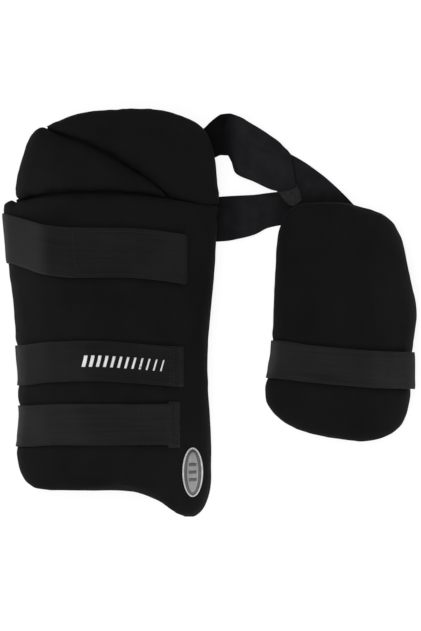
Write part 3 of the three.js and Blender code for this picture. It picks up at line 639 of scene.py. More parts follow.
def blown_up(piece, start):
    """Points of the piece after a short pressure simulation, none moved further than the swell."""
    cloth = piece.modifiers.new("cloth", "CLOTH")
    cloth.settings.use_pressure = True
    cloth.settings.uniform_pressure_force = PAD_PRESSURE
    cloth.settings.effector_weights.gravity = 0
    cloth.settings.quality = 4
    cloth.point_cache.frame_start = 1
    cloth.point_cache.frame_end = CLOTH_FRAMES
    for number in range(1, CLOTH_FRAMES + 1):
        scene.frame_set(number)
    shown = piece.evaluated_get(bpy.context.evaluated_depsgraph_get())
    shift = coordinates(shown.data) - start
    piece.modifiers.clear()
    scene.frame_set(1)
    length = np.linalg.norm(shift, axis=1)
    return start + shift * np.minimum(1, PAD_SWELL / np.maximum(length, 1e-9))[:, None]


def foam_pad(node):
    """Closed pad of foam in cloth, blown up a little from the solid it stands for."""
    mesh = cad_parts[node].data.copy()
    mesh.materials.clear()
    piece = bpy.data.objects.new(node.split("_")[0] + "_cover", mesh)
    scene.collection.objects.link(piece)
    work = bmesh.new()
    work.from_mesh(mesh)
    bmesh.ops.remove_doubles(work, verts=work.verts, dist=0.01 * MM)
    work.normal_update()
    for vertex in work.verts:
        vertex.co -= vertex.normal * PAD_SHRINK
    work.to_mesh(mesh)
    work.free()
    remesh = piece.modifiers.new("remesh", "REMESH")
    remesh.mode = "VOXEL"
    remesh.voxel_size = PAD_VOXEL
    with_modifiers(piece)
    start = coordinates(piece.data)
    cut = start + vertex_normals(piece.data) * PAD_SHRINK
    moved = blown_up(piece, start)
    moved = to_outline(moved, cut, middle_of(node), RIM_GAIN[node])
    moved[:, :2] += PLAN_SHIFT[node]
    moved = close_to_creases(filled_corners(moved, node), node)
    moved[:, 2] = np.maximum(moved[:, 2], BAND_LAYER)
    place_coordinates(piece.data, moved)
    place_coordinates(piece.data, sunk_at_creases(moved, vertex_normals(piece.data), node))
    finer = piece.modifiers.new("finer", "SUBSURF")
    finer.levels = 1
    finer.render_levels = 1
    with_modifiers(piece)
    piece.data.polygons.foreach_set("use_smooth", [True] * len(piece.data.polygons))
    piece.data.materials.append(pad_cloth)
    dressed(piece, "pad_cloth", node)
    return piece


def wavy(pad, seed):
    """Slow unevenness of hand-sewn foam, pushed along the normals of the front."""
    points = coordinates(pad.data)
    normals = vertex_normals(pad.data)
    front = smooth_between(-0.2, 0.5, normals[:, 2])
    shift = noise_over(points, WAVE_SIZE, (seed, 0, 0)) * WAVE_REACH * front
    place_coordinates(pad.data, points + normals * shift[:, None])


def strap_middle(strap, reach):
    """The level of a strap's middle line where it has come to that reach."""
    level = on_guard(0, strap["level"], strap["guard"])[1]
    return level + strap["width"] * follow(strap["drift"], reach)


def press_strap(strap):
    """Sinks the foam under a taut strap, with a low lip along both of its edges."""
    mesh = pads[strap["pad"]].data
    points = coordinates(mesh)
    normals = vertex_normals(mesh)
    x = points[:, 0]
    left, tip, begin = x.min(), strap_x(strap, "tip"), strap_x(strap, "pressed")
    reach = np.clip((x - left) / (tip - left), 0, 1)
    off = np.abs(points[:, 1] - strap_middle(strap, reach)) - strap["width"] / 2
    front = smooth_between(-0.5, 0.1, normals[:, 2])
    span = 1 - smooth_between(tip - 6 * MM, tip + 10 * MM, x)
    span *= smooth_between(begin - PRESS_FADE, begin, x)
    dip = 1 - smooth_between(-2 * MM, 4 * MM, off)
    lip = np.exp(-((off - 7 * MM) / (4.5 * MM)) ** 2)
    shift = (PRESS_LIP * lip - PRESS_DEPTH * dip) * front * span
    place_coordinates(mesh, points + normals * shift[:, None])


pads = {node: foam_pad(node) for node in PANEL_CREASES}
for number, pad in enumerate(pads.values()):
    wavy(pad, WAVE_SHIFT * number)
for strap in STRAPS.values():
    press_strap(strap)


# Seams
SEAM_SIZE = 0.8 * MM
SEAM_TALLER = 1.5
SEAM_SIDES = 8
SEAM_SHOWS = 0.3 * MM
SEAM_DROP = 1.5 * MM
SEAM_FROM_CREASE = 11 * MM
SEAM_RAY = 15 * MM
LOOP_ENDS = 20


def rim_loop(pad, middle):
    """The pad's widest line, seen from above."""
    far, height = rim_reach(coordinates(pad.data), middle)
    loop = np.column_stack([middle[0] + far * np.cos(RAY_ANGLES), middle[1] + far * np.sin(RAY_ANGLES), height])
    wrapped = np.vstack([loop[-LOOP_ENDS:], loop, loop[:LOOP_ENDS]])
    wrapped[:, 2] = blurred(wrapped[:, 2], 0, 12)
    return blurred(wrapped, 0, 2)[LOOP_ENDS:-LOOP_ENDS]


def free_rim(pad, loop, middle, panel):
    """The part of a rim that lies away from the creases, as its seam's line sunk into the cloth there."""
    points = [Vector(point) for point in coordinates(pad.data)]
    surface = BVHTree.FromPolygons(points, [tuple(face.vertices) for face in pad.data.polygons])
    sunk = loop.copy()
    for i, (x, y, z) in enumerate(loop):
        inward = Vector((middle[0] - x, middle[1] - y, 0)).normalized()
        start = Vector((x, y, max(z - SEAM_DROP, BAND_LAYER))) - inward * SEAM_RAY
        found = surface.ray_cast(start, inward, 2 * SEAM_RAY)[0]
        sunk[i] = (found if found else start + inward * SEAM_RAY) + inward * (SEAM_SIZE - SEAM_SHOWS)
    sunk = blurred(np.tile(sunk, (3, 1)), 0, 2)[len(loop):2 * len(loop)]
    clear = np.ones(len(loop), bool)
    for line, _, _ in PANEL_CREASES[panel]:
        clear &= gap_to(line, loop) > SEAM_FROM_CREASE
    if clear.all():
        return sunk, True
    shut = int(np.argmax(~clear))
    rolled = np.roll(clear, -shut)
    runs = np.split(np.arange(len(loop)), np.where(np.diff(rolled.astype(int)) != 0)[0] + 1)
    longest = max((run for run in runs if rolled[run[0]]), key=len)
    return np.roll(sunk, -shut, axis=0)[longest], False


def lining_under(pad, loop, middle):
    """Paints how many millimetres each point lies under the rim's seam, where the lining begins."""
    points = coordinates(pad.data)
    normals = vertex_normals(pad.data)
    angles, _ = polar(loop, middle)
    at, _ = polar(points, middle)
    rim = np.column_stack([np.interp(at, angles, loop[:, c], period=2 * math.pi) for c in range(3)])
    off_rim = np.hypot(points[:, 0] - rim[:, 0], points[:, 1] - rim[:, 1])
    beside = 1 - smooth_between(6 * MM, 10 * MM, off_rim)
    under_seam = (rim[:, 2] - SEAM_DROP - points[:, 2]) / MM
    paint(pad, "lining", beside * under_seam - (1 - beside) * 4 * normals[:, 2])


def tube(name, loop, closed):
    """Rounded seam along a line of points, taller than it is wide."""
    ahead = np.roll(loop, -1, 0) - np.roll(loop, 1, 0)
    if not closed:
        ahead[0] = loop[1] - loop[0]
        ahead[-1] = loop[-1] - loop[-2]
    ahead /= np.linalg.norm(ahead, axis=1)[:, None]
    out = np.cross(ahead, (0, 0, 1))
    out /= np.linalg.norm(out, axis=1)[:, None]
    up = np.cross(out, ahead)
    runs = runs_along(loop)
    vertices = []
    uvs = []
    for i, point in enumerate(loop):
        for s in range(SEAM_SIDES):
            angle = 2 * math.pi * s / SEAM_SIDES
            offset = out[i] * math.cos(angle) * SEAM_SIZE + up[i] * math.sin(angle) * SEAM_SIZE * SEAM_TALLER
            vertices.append(point + offset)
            uvs.append((runs[i], angle * SEAM_SIZE))
    return piece_from(name, vertices, ring_faces(len(loop), SEAM_SIDES, closed), seam_cloth, uvs)


for node, pad in pads.items():
    centre = middle_of(node)
    rim = rim_loop(pad, centre)
    lining_under(pad, rim, centre)
    edge, closed = free_rim(pad, rim, centre, node)
    dressed(tube(node.split("_")[0] + "_seam", edge, closed), "pad_cloth")


# Bands
WIDTH_STEP = 2.5 * MM
EDGE_ROLL = 0.45
REVERSE_UV = (0.37, 0.11)


def grid_normals(grid):
    normals = np.cross(np.gradient(grid, axis=0), np.gradient(grid, axis=1))
    return normals / np.maximum(np.linalg.norm(normals, axis=2), 1e-12)[:, :, None]


def band_parts(grid, thickness, flip=False):
    """Vertices, faces and flat coordinates of a closed band round a grid of middle points."""
    stations, rows = grid.shape[:2]
    normals = grid_normals(grid) * (-1 if flip else 1)
    share = np.abs(np.linspace(-1, 1, rows))
    half = (thickness / 2 * (1 - EDGE_ROLL * share ** 10))[None, :, None]
    vertices = np.stack([grid + normals * half, grid - normals * half]).reshape(-1, 3)
    vertices[:, 2] = np.maximum(vertices[:, 2], 0)
    over = runs_along(grid[stations // 2])
    uv = np.stack(np.meshgrid(runs_along(grid[:, rows // 2]), over, indexing="ij"), axis=2).reshape(-1, 2)
    total = stations * rows
    faces = []
    for i in range(stations - 1):
        for j in range(rows - 1):
            a = i * rows + j
            quad = (a, a + rows, a + rows + 1, a + 1)
            faces.append(quad)
            faces.append(tuple(total + k for k in reversed(quad)))
        for j, order in ((0, 1), (rows - 1, -1)):
            a = i * rows + j
            faces.append((a, a + total, a + rows + total, a + rows)[::order])
    for i, order in ((0, -1), (stations - 1, 1)):
        for j in range(rows - 1):
            a = i * rows + j
            faces.append((a, a + total, a + 1 + total, a + 1)[::order])
    if flip:
        faces = [face[::-1] for face in faces]
    return vertices, faces, np.concatenate([uv, uv + REVERSE_UV])


def band_piece(name, grid, thickness, material, flip=False):
    vertices, faces, uvs = band_parts(grid, thickness, flip)
    return piece_from(name, vertices, faces, material, uvs)


def together(parts):
    """Several sets of vertices, faces and flat coordinates as one."""
    vertices, faces, uvs = [], [], []
    for part_vertices, part_faces, part_uvs in parts:
        first = sum(len(done) for done in vertices)
        vertices.append(part_vertices)
        uvs.append(part_uvs)
        faces.extend(tuple(first + k for k in face) for face in part_faces)
    return np.concatenate(vertices), faces, np.concatenate(uvs)


def taut_ring(points):
    """Convex ring in x, z, clockwise from its lowest right corner."""
    ordered = points[np.lexsort((points[:, 1], points[:, 0]))]

    def chain(rows):
        kept = []
        for point in rows:
            while len(kept) > 1:
                (ax, az), (bx, bz) = kept[-2], kept[-1]
                if (bx - ax) * (point[1] - az) - (bz - az) * (point[0] - ax) > 0:
                    break
                kept.pop()
            kept.append(tuple(point))
        return kept[:-1]

    ring = np.array((chain(ordered) + chain(ordered[::-1]))[::-1])
    middle = (ordered[0, 0] + ordered[-1, 0]) / 2
    right = np.where(ring[:, 0] > middle)[0]
    first = right[np.argmin(ring[right, 1])]
    return np.roll(ring, -first, 0)


SLAB = 2.6 * MM
UNDER_STATIONS = 130
FRONT_STATIONS = 190
RING_STATIONS = 2600
BEND_PASSES = 40
LEVEL_STEP = 2.5 * MM
LEVEL_MARGIN = 3 * MM
TAPE_CLIMB = 26 * MM
STRAP_AIR = 0.25 * MM
WOBBLE_REACH = 0.5 * MM
WOBBLE_SIZE = 24 * MM
HIDDEN_TAPE = 0.86
END_LENGTH = 26 * MM


def wrap_table(strap, levels, extra_lift):
    """Taut paths round the pad at each level: stations by levels, as x and z."""
    points = coordinates(pads[strap["pad"]].data)
    root, tip = strap_x(strap, "root"), strap_x(strap, "tip")
    shoulder = strap_x(strap, strap.get("shoulder", 0))
    table = []
    for level in levels:
        near = points[np.abs(points[:, 1] - level) < SLAB][:, [0, 2]]
        left, right = near[:, 0].min(), near[:, 0].max()
        around = [near, np.array([(left + FREE_EDGE, BAND_LAYER), (right - FREE_EDGE, BAND_LAYER)])]
        if strap["slack"] > 0:
            beside = near[np.abs(near[:, 0] - shoulder) < 3 * MM]
            around.append(np.array([(shoulder, beside[:, 1].max() + strap["slack"])]))
        ring = taut_ring(np.concatenate(around))
        fine = along_path(np.vstack([ring, ring[:1]]), RING_STATIONS)
        turn = int(np.argmin(fine[:, 0]))
        under, front = fine[:turn + 1], fine[turn:]
        under = under[under[:, 0] < root]
        stop = np.argmax(front[:, 0] > tip)
        front = front[:stop] if stop > 0 else front
        table.append(np.vstack([along_path(under, UNDER_STATIONS), along_path(front, FRONT_STATIONS)[1:]]))
    table = blurred(blurred(np.array(table).transpose(1, 0, 2), 1, 2), 0, 2)
    if strap["slack"] > 0:
        bend = 1 - smooth_between(8 * MM, 18 * MM, np.abs(table[:, :, 0] - shoulder))
        table += (blurred(table, 0, BEND_PASSES) - table) * bend[:, :, None]
    runs = np.gradient(table, axis=0)
    normal = np.stack([-runs[:, :, 1], runs[:, :, 0]], axis=2)
    normal /= np.maximum(np.linalg.norm(normal, axis=2), 1e-12)[:, :, None]
    return table + normal * extra_lift


def strap_grid(strap, lift, over_tape):
    """Middle surface of a strap that lies taut on the pad, as stations by rows."""
    half = strap["width"] / 2
    reaches = np.concatenate([np.linspace(-1, 0, UNDER_STATIONS), np.linspace(0, 1, FRONT_STATIONS)[1:]])
    middles = strap_middle(strap, reaches)
    levels = np.arange(middles.min() - half - LEVEL_MARGIN, middles.max() + half + LEVEL_MARGIN, LEVEL_STEP)
    table = wrap_table(strap, levels, lift)
    rows = int(strap["width"] / WIDTH_STEP) + 1
    across = np.linspace(-0.5, 0.5, rows) * strap["width"]
    xs = table[:, len(levels) // 2, 0]
    left, tip = xs.min(), strap_x(strap, "tip")
    front = np.arange(len(xs)) > UNDER_STATIONS - 1
    turned = np.arange(len(xs)) < UNDER_STATIONS - 1
    reaches = np.where(turned, -np.clip((xs - left) / (xs[0] - left), 0, 1),
                       np.clip((xs - left) / (tip - left), 0, 1))
    grid = np.empty((len(reaches), rows, 3))
    for i, middle in enumerate(strap_middle(strap, reaches)):
        ys = middle + across
        grid[i, :, 0] = np.interp(ys, levels, table[i, :, 0])
        grid[i, :, 1] = ys
        grid[i, :, 2] = np.interp(ys, levels, table[i, :, 1])
    if over_tape:
        tape_from = strap_x(strap, "tape")
        climb = smooth_between(tape_from - TAPE_CLIMB, tape_from + 1 * MM, grid[:, :, 0])
        climb = np.where(front[:, None], climb, 0)
        grid += grid_normals(grid) * (climb * (TAPE_THICKNESS + CLEARANCE))[:, :, None]
    return grid


def elastic_grid(name, strap):
    """Middle surface of a worn strap, with its small slow unevenness."""
    grid = strap_grid(strap, CLEARANCE + STRAP_THICKNESS / 2 + STRAP_AIR, True)
    tip = strap_x(strap, "tip")
    front = grid[UNDER_STATIONS:, :, 0]
    front += strap["proud"] * smooth_between(tip - END_LENGTH, tip, front)
    grid[:, :, 2] = np.maximum(grid[:, :, 2], STRAP_THICKNESS / 2)
    uneven = np.maximum(0, noise_over(grid, WOBBLE_SIZE, (len(name), len(name), 0)))
    return grid + grid_normals(grid) * uneven[:, :, None] * WOBBLE_REACH


def hook_grid(strap):
    """Middle surface of the hook tape under a strap's free end, narrower where the strap hides it."""
    tape = {**strap, "tip": strap["tip"] + strap["tape_past"]}
    front = strap_grid(tape, CLEARANCE + TAPE_THICKNESS / 2, False)[UNDER_STATIONS:]
    front = front[front[:, front.shape[1] // 2, 0] > strap_x(strap, "tape")]
    middle = front[:, front.shape[1] // 2][:, None]
    tip = strap_x(strap, "tip")
    bared = smooth_between(tip - 7 * MM, tip - 2 * MM, middle[:, :, 0:1])
    wide = HIDDEN_TAPE + (strap["tape_width"] - HIDDEN_TAPE) * bared
    spread = np.concatenate([np.ones_like(wide), wide, np.ones_like(wide)], axis=2)
    return middle + (front - middle) * spread


strap_grids = {}
for name, strap in STRAPS.items():
    strap_grids[name] = elastic_grid(name, strap)
    piece = band_piece("elastic_" + name, strap_grids[name], STRAP_THICKNESS, elastic_cloth[name])
    dressed(piece, "elastic", strap["nodes"][0])
    patch = band_piece("hook_" + name, hook_grid(strap), TAPE_THICKNESS, strap_hook_cloth)
    dressed(patch, "hook_tape", strap["nodes"][1])


# Thread
STITCH = 2.6 * MM
STITCH_GAP = 1.3 * MM
THREAD_SIZE = 0.34 * MM
# Along a stitch: the share of its length, how thick it is and how high it lies, in thread sizes
STITCH_SHAPE = [
    (0.0, 0.35, -0.7), (0.2, 0.85, 0.15), (0.5, 1.0, 0.45), (0.8, 0.85, 0.15), (1.0, 0.35, -0.7),
]
STITCH_SIDES = 6
# The stitched box, in shares of the strap's width and from its tip, and its second row
BOX_LOW = 0.07
BOX_HIGH = 0.93
BOX_INSET = 2.5 * MM
BOX_ROW = 3 * MM
LINE_SPOTS = 40


def stitch_parts(places, normals):
    """Short rounded stitches one behind the other along a line on a surface."""
    runs = runs_along(places)
    count = max(1, int(runs[-1] / (STITCH + STITCH_GAP)))
    pitch = runs[-1] / count
    length = pitch - STITCH_GAP

    def at(run, rows):
        return np.array([np.interp(run, runs, rows[:, c]) for c in range(3)])

    parts = []
    for n in range(count):
        begin = n * pitch + STITCH_GAP / 2
        ahead = at(begin + length, places) - at(begin, places)
        ahead /= max(np.linalg.norm(ahead), 1e-9)
        vertices = []
        for share, size, height in STITCH_SHAPE:
            up = at(begin + share * length, normals)
            up /= np.linalg.norm(up)
            out = np.cross(ahead, up)
            for s in range(STITCH_SIDES):
                angle = 2 * math.pi * s / STITCH_SIDES
                ring = out * math.cos(angle) + up * math.sin(angle)
                vertices.append(at(begin + share * length, places) + (up * height + ring * size) * THREAD_SIZE)
        faces = ring_faces(len(STITCH_SHAPE), STITCH_SIDES, False)
        parts.append((np.array(vertices), faces, np.zeros((len(vertices), 2))))
    return parts


def on_strap(name, corners):
    """A line over a strap through corners given as x and share of the width, with its normals."""
    front = strap_grids[name][UNDER_STATIONS:]
    stations, rows = front.shape[:2]
    t = np.linspace(0, 1, LINE_SPOTS)[:-1, None]
    corners = np.array(corners)
    spots = [start + (end - start) * t for start, end in zip(corners[:-1], corners[1:])]
    x, share = np.vstack(spots + [corners[-1:]]).T
    station = np.interp(x, front[:, rows // 2, 0], np.arange(stations))
    row = np.clip(share, 0, 1) * (rows - 1)
    a = np.minimum(station, stations - 2).astype(int)
    b = np.minimum(row, rows - 2).astype(int)
    u, v = (station - a)[:, None], (row - b)[:, None]
    places, ups = [
        source[a, b] * (1 - u) * (1 - v) + source[a + 1, b] * u * (1 - v)
        + source[a, b + 1] * (1 - u) * v + source[a + 1, b + 1] * u * v
        for source in (front, grid_normals(front))
    ]
    ups /= np.linalg.norm(ups, axis=1)[:, None]
    return places + ups * STRAP_THICKNESS / 2, ups


def strap_stitching(name, strap):
    """A stitched box over the hook tape, with a second row at the free end."""
    left, right = strap_x(strap, "stitched"), strap_x(strap, "tip") - BOX_INSET
    box = [(left, BOX_LOW), (right, BOX_LOW), (right, BOX_HIGH), (left, BOX_HIGH), (left, BOX_LOW)]
    second = [(right - BOX_ROW, BOX_LOW), (right - BOX_ROW, BOX_HIGH)]
    parts = stitch_parts(*on_strap(name, box)) + stitch_parts(*on_strap(name, second))
    dressed(piece_from("stitching_" + name, *together(parts)[:2], thread), "elastic")


for name, strap in STRAPS.items():
    strap_stitching(name, strap)


# Plain printed marks on the middle strap, each a little narrower than the one before
MARKS_FROM = 0.382
MARKS_TO = 0.775
MARKS_LOW = 0.36
MARKS_HIGH = 0.64
MARK_COUNT = 12
MARK_WIDTH = 4.6
MARK_NARROWING = 0.26
MARK_LEAN = 3.2 * MM
MARK_THICKNESS = 0.16 * MM


def printed_marks():
    parts = []
    left = on_guard(MARKS_FROM, 0)[0]
    pitch = (MARKS_TO - MARKS_FROM) * GUARD_WIDTH / MARK_COUNT
    for n in range(MARK_COUNT):
        width = (MARK_WIDTH - MARK_NARROWING * n) * MM
        rows = []
        for share in np.linspace(MARKS_LOW, MARKS_HIGH, 7):
            begin = left + n * pitch + (share - 0.5) / (MARKS_HIGH - MARKS_LOW) * MARK_LEAN
            places, ups = on_strap("middle", [(begin, share), (begin + width, share)])
            rows.append((places + ups * MARK_THICKNESS / 2)[::10])
        parts.append(band_parts(np.array(rows).transpose(1, 0, 2), MARK_THICKNESS))
    vertices, faces, uvs = together(parts)
    dressed(piece_from("printed_marks", vertices, faces, ink, uvs), "badge_foil")


ink = foil_material("white_ink", grey(0.62), grey(0.8), 0.6, 0.0)
printed_marks()


# Belt
BELT_WAVE = 0.9 * MM
BELT_WAVE_SIZE = 17 * MM
FOLD_ACROSS = 0.25
FOLD_TOP = 15 * MM
# Soft creases in the bands, in millimetres: where each starts and ends in plan, its depth and its width
BACK_DENTS = [((36, 169), (62, 160), 1.6, 1.5), ((28, 150), (46, 143), 1.1, 1.6)]
FRONT_DENTS = [((30, 91), (62, 91.5), 1.5, 1.6), ((14, 108), (34, 104), 0.9, 2.0)]


def between_guards(across, up):
    hip_height = MAIN_BOTTOM + GUARD_LENGTH - CREASE_RIGHT
    return MAIN_LEFT + GUARD_WIDTH + across * GUARDS_APART, CREASE_RIGHT + up * hip_height


def over_inner(across, up):
    return INNER_LEFT + across * INNER_WIDTH, INNER_BOTTOM + INNER_LENGTH + up * BELT_WIDTH


def belt_grid(route, width, place, stations, rows, cup=0.0):
    """Middle surface of a belt band along its route, a little cupped across its width."""
    at = np.linspace(0, len(route) - 1, stations)
    columns = [follow(list(enumerate(column)), at) for column in zip(*route)]
    x, y = place(columns[0], columns[1])
    turn, tilt = np.radians(columns[3]), np.radians(columns[4])
    line = np.stack([np.cos(turn) * np.cos(tilt), np.sin(turn) * np.cos(tilt), np.sin(tilt)], axis=1)
    centre = blurred(np.stack([x, y, columns[2] * MM], axis=1), 0, 3)
    share = np.linspace(-1, 1, rows)
    half = columns[5] * width / 2
    grid = centre[:, None, :] + line[:, None, :] * (share[None, :] * half[:, None])[:, :, None]
    normals = grid_normals(grid)
    side = np.sign(normals[:, :, 2].mean())
    swell = cup * (1 - share ** 2)[None, :] + noise_over(grid, BELT_WAVE_SIZE) * BELT_WAVE
    return grid + side * normals * swell[:, :, None]


def dent(grid, start, end, depth, width):
    """A soft crease pressed into a band along a line seen from above, between two raised lips."""
    a, b = np.array(start) * MM, np.array(end) * MM
    run = b - a
    flat = grid[:, :, :2] - a
    share = (flat @ run) / (run @ run)
    off = np.abs(flat[:, :, 0] * run[1] - flat[:, :, 1] * run[0]) / np.linalg.norm(run) / (width * MM)
    fade = smooth_between(-0.25, 0.15, share) * (1 - smooth_between(0.85, 1.25, share))
    grid[:, :, 2] += depth * MM * fade * (0.45 * np.exp(-(off - 2.2) ** 2) - np.exp(-off ** 2))


def painted_belt_shade(name, points):
    """How much painted shade darkens each point of a belt band, 0 to 1: on its reverse before the fold, at the
    fold and beside a guard.
    """
    x, y, z = points.T
    fold = between_guards(FOLD_ACROSS, 0)[0]
    guard_side = between_guards(0, 0)[0]
    inner_top = over_inner(0, 0)[1]
    if name == "belt_back":
        # Painted shade: the reverse before the fold is darkened whole, the fold itself darkest, and the sheet
        # just past the fold fades out of the shade over about 13 mm
        shaded_underside = (x < fold + 1 * MM) & (z < FOLD_TOP)
        turned = 1 - smooth_between(fold - 0.2 * MM, fold + 1.6 * MM, x)
        beyond = 0.9 * (1 - smooth_between(fold - 2 * MM, fold + 13 * MM, x))
        return np.where(shaded_underside, 1, np.maximum(turned, beyond))
    if name == "belt_front":
        # Painted shade on the front band beside the main guard and again towards the inner guard
        main_guard_shade = 0.5 * (1 - smooth_between(guard_side + 13 * MM, guard_side + 30 * MM, x))
        return main_guard_shade + 0.45 * smooth_between(guard_side + 45 * MM, guard_side + 68 * MM, x)
    if name == "belt_side":
        # Painted shade on the link band just above the inner guard's top edge
        return 0.75 * (1 - smooth_between(inner_top, inner_top + 18 * MM, y))
    return np.zeros(len(points))


def belt_piece(name, grid, dents=(), thickness=BELT_THICKNESS, cloth=belt_cloth, slot="belt_webbing"):
    for row in dents:
        dent(grid, *row)
    grid[:, :, 2] = np.maximum(grid[:, :, 2], thickness / 2)
    flip = grid_normals(grid)[:, :, 2].mean() < 0
    piece = band_piece("worn_" + name, grid, thickness, cloth, flip)
    # Painted shade of the fold and the guards, laid on the band's points for its material to read
    paint(piece, "painted_shade", painted_belt_shade(name, coordinates(piece.data)))
    dressed(piece, slot, name)


belt_piece("belt_back", belt_grid(BACK_ROUTE, BELT_WIDTH, between_guards, 240, 22, 1.5 * MM), BACK_DENTS)
belt_piece("belt_front", belt_grid(FRONT_ROUTE, BELT_WIDTH, between_guards, 60, 20, 1.2 * MM), FRONT_DENTS)
belt_piece("belt_side", belt_grid(LINK_ROUTE, LINK_WIDTH, over_inner, 44, 18))
tongue = belt_grid(TONGUE_ROUTE, TONGUE_WIDTH, between_guards, 30, 12)
belt_piece("belt_tongue", tongue, (), TAPE_THICKNESS, hook_cloth, "hook_tape")


# Tape that closes the joints between the panels from below
JOINT_HALF = 6 * MM
JOINT_THICKNESS = 1 * MM
JOINT_STATIONS = 50
JOINT_ROWS = 5


def joint_tape(name, line, panels):
    points = np.concatenate([coordinates(pads[panel].data) for panel in panels])
    x = np.linspace(line[0, 0] + 1 * MM, line[-1, 0] - 2 * MM, JOINT_STATIONS)
    y = follow(line, x)
    level = np.empty(JOINT_STATIONS)
    for i in range(JOINT_STATIONS):
        near = points[np.hypot(points[:, 0] - x[i], points[:, 1] - y[i]) < 6 * MM]
        level[i] = 0.75 * near[:, 2].min() + 0.25 * near[:, 2].max()
    slope = np.gradient(y, x)
    out = np.stack([-slope, np.ones_like(slope)], axis=1) / np.hypot(slope, 1)[:, None]
    half = JOINT_HALF * (0.3 + 0.7 * smooth_between(0, 12 * MM, x - x[0]))
    rows = np.linspace(-1, 1, JOINT_ROWS)[None, :] * half[:, None]
    grid = np.empty((JOINT_STATIONS, JOINT_ROWS, 3))
    grid[:, :, 0] = x[:, None] + out[:, :1] * rows
    grid[:, :, 1] = y[:, None] + out[:, 1:] * rows
    grid[:, :, 2] = blurred(level, 0, 4)[:, None]
    dressed(band_piece(name, grid, JOINT_THICKNESS, pad_cloth), "pad_cloth")


joint_tape("slant_joint", slant, ("side_panel", "hip_panel"))
joint_tape("cross_joint", cross, ("thigh_panel", "side_panel", "hip_panel"))


# Badge: a plain oval with a raised rim, a dark groove and a pale middle with three bars
BADGE_HALF_WIDTH = 10.3 * MM
BADGE_HALF_HEIGHT = 24.6 * MM
BADGE_RIM = 1.7 * MM
BADGE_GROOVE = 3.0 * MM
BADGE_RAYS = 64
BADGE_SEAT = 0.7
BADGE_FOOT = -1.8 * MM
BADGE_FACE = 0.7 * MM
# Share of the way over the rim or out over the plate, and the height over the pad there in millimetres
RIM_SHAPE = [(0, 0.7), (0.25, 1.15), (0.5, 1.3), (0.75, 1.15), (1, 0.7)]
PLATE_SHAPE = [(1.0, 0.85), (0.96, 1.05), (0.8, 1.12), (0.6, 1.2), (0.4, 1.25), (0.2, 1.28)]
FIELD_SHARES = (1.0, 0.8, 0.6, 0.4, 0.2)
BAR_LEVELS = (1, 0, -1)
BAR_HALF_LENGTH = 3.6 * MM
BAR_HALF_HEIGHT = 1.5 * MM
BAR_PITCH = 7.5 * MM
BAR_LIFT = 1.35 * MM
BAR_THICKNESS = 0.5 * MM

badge_middle = (np.array(badge_low) + np.array(badge_high)) / 2


def badge_shares_at(x, y):
    return (x - badge_middle[0]) / BADGE_HALF_WIDTH, (y - badge_middle[1]) / BADGE_HALF_HEIGHT


def badge_terms(x, y):
    x, y = badge_shares_at(x, y)
    return np.stack([np.ones_like(x), x, y, x * x, x * y, y * y], axis=-1)


def badge_sheet():
    """Shares of the terms of a smooth curved sheet under the badge, and how proud of it the pad stands."""
    points = coordinates(pads["thigh_panel"].data)
    normals = vertex_normals(pads["thigh_panel"].data)
    near = points[(normals[:, 2] > 0.2) & (np.hypot(*badge_shares_at(points[:, 0], points[:, 1])) < 1.15)]
    terms = badge_terms(near[:, 0], near[:, 1])
    share = np.linalg.lstsq(terms, near[:, 2], rcond=None)[0]
    return share, max(0.0, (near[:, 2] - terms @ share).max())


sheet_share, sheet_proud = badge_sheet()


def over_badge(x, y, lift):
    """Points at that lift over the sheet that the badge lies on."""
    height = badge_terms(x, y) @ sheet_share + sheet_proud * BADGE_SEAT
    return np.stack([x, y, height + lift], axis=-1)


def badge_piece(name, rows, closed, material, *nodes):
    """A ring or a plate of the badge. Each row is how far in it lies, its share of that and the lift."""
    angles = 2 * math.pi * np.arange(BADGE_RAYS) / BADGE_RAYS
    rings = []
    for inset, share, lift in rows:
        across = (1 - inset / BADGE_HALF_WIDTH) * share * BADGE_HALF_WIDTH
        along = (1 - inset / BADGE_HALF_HEIGHT) * share * BADGE_HALF_HEIGHT
        x = badge_middle[0] + across * np.cos(angles)
        rings.append(over_badge(x, badge_middle[1] + along * np.sin(angles), lift))
    faces = ring_faces(len(rings), BADGE_RAYS, closed)
    dressed(piece_from(name, np.concatenate(rings), faces, material), "badge_foil", *nodes)


def badge_bars():
    x = badge_middle[0] + np.linspace(-BAR_HALF_LENGTH, BAR_HALF_LENGTH, 9)
    bars = []
    for level in BAR_LEVELS:
        y = badge_middle[1] + level * BAR_PITCH + np.linspace(-BAR_HALF_HEIGHT, BAR_HALF_HEIGHT, 5)
        bars.append(band_parts(over_badge(*np.meshgrid(x, y, indexing="ij"), BAR_LIFT), BAR_THICKNESS))
    vertices, faces, uvs = together(bars)
    dressed(piece_from("badge_bars", vertices, faces, badge_dark, uvs), "badge_foil")


badge_foil = foil_material("badge_silver", grey(0.42), grey(0.62), 0.4, 0.5)
badge_dark = foil_material("badge_charcoal", grey(0.06), grey(0.11), 0.45, 0.2)
badge_pale = foil_material("badge_pale", grey(0.22), grey(0.31), 0.45, 0.2)
rim_rows = [(0, 1, BADGE_FOOT)]
rim_rows += [(share * BADGE_RIM, 1, lift * MM) for share, lift in RIM_SHAPE]
rim_rows += [(BADGE_RIM, 1, BADGE_FOOT)]
field_rows = [(BADGE_RIM, 1, BADGE_FOOT)] + [(BADGE_RIM, share, BADGE_FACE) for share in FIELD_SHARES]
plate_edge = BADGE_RIM + BADGE_GROOVE
plate_rows = [(plate_edge, 1, 0)] + [(plate_edge, share, lift * MM) for share, lift in PLATE_SHAPE]
badge_piece("badge_rim", rim_rows, True, badge_foil, "badge")
badge_piece("badge_field", field_rows, False, badge_dark, "badge")
badge_piece("badge_plate", plate_rows, False, badge_pale)
badge_bars()


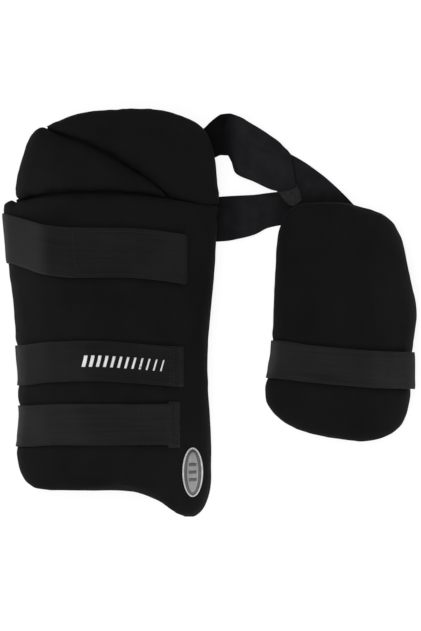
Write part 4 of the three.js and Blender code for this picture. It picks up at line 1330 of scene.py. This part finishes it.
# Floor, light and camera
FLOOR_GLOW = 0.85
FLOOR_SIZE = 12
CARD_HEIGHT = 0.03
CARD_LEVEL = 0.016
CAMERA_PLACE = (0.001, -0.0028, 6.0)
VIEW_HEIGHT = 0.631
SENSOR = 36.0
SHOWN_LEVEL = 20 * MM


def stage_material():
    shader = Shader("pale_floor", roughness=0.9, specular=0.1)
    faint = shader.noise(shader.place("Object"), 3, 2)
    shader.skin["Emission Color"].default_value = (1, 1, 1, 1)
    shader.skin["Emission Strength"].default_value = FLOOR_GLOW
    return shader.finished(shader.ramp(faint, (0.3, grey(0.2)), (0.7, grey(0.215))))


corners = [(x * FLOOR_SIZE, y * FLOOR_SIZE, 0) for x, y in ((-1, -1), (1, -1), (1, 1), (-1, 1))]
floor = piece_from("floor", corners, [(0, 1, 2, 3)], stage_material())

world = bpy.data.worlds.new("studio")
scene.world = world
world.use_nodes = True
backdrop = world.node_tree.nodes["Background"]
backdrop.inputs["Color"].default_value = (1, 1, 1, 1)
backdrop.inputs["Strength"].default_value = 0.5


def soft_light(name, place, aim, size, power):
    data = bpy.data.lights.new(name, "AREA")
    data.shape = "DISK"
    data.size = size
    data.energy = power
    lamp = bpy.data.objects.new(name, data)
    lamp.location = place
    lamp.rotation_euler = (Vector(aim) - Vector(place)).to_track_quat("-Z", "Y").to_euler()
    lamp.visible_camera = False
    scene.collection.objects.link(lamp)
    return data


def low_card(name, place, towards, length, power):
    """Low card close beside the object that lights its flanks and leaves its top alone."""
    data = soft_light(name, (*place, CARD_LEVEL), (*towards, CARD_LEVEL), length, power)
    data.shape = "RECTANGLE"
    data.size_y = CARD_HEIGHT


soft_light("key_light", (-0.4, 0.3, 2.5), (0, 0, 0), 1.4, 26.5)
low_card("left_card", (-0.36, 0.02), (0, 0.02), 0.24, 0.32)
low_card("right_card", (0.36, 0.0), (0, 0.0), 0.5, 0.28)
low_card("front_card", (0.05, -0.36), (0.05, 0), 0.5, 0.38)
soft_light("lower_fill", (0.05, -0.45, 0.35), (0.05, -0.15, 0.03), 0.25, 0.5)

scene.view_settings.view_transform = "Standard"

camera_data = bpy.data.cameras.new("camera")
camera_data.sensor_width = SENSOR
camera_data.lens = SENSOR * (CAMERA_PLACE[2] - SHOWN_LEVEL) / VIEW_HEIGHT
camera = bpy.data.objects.new("camera", camera_data)
camera.location = CAMERA_PLACE
scene.collection.objects.link(camera)
scene.camera = camera
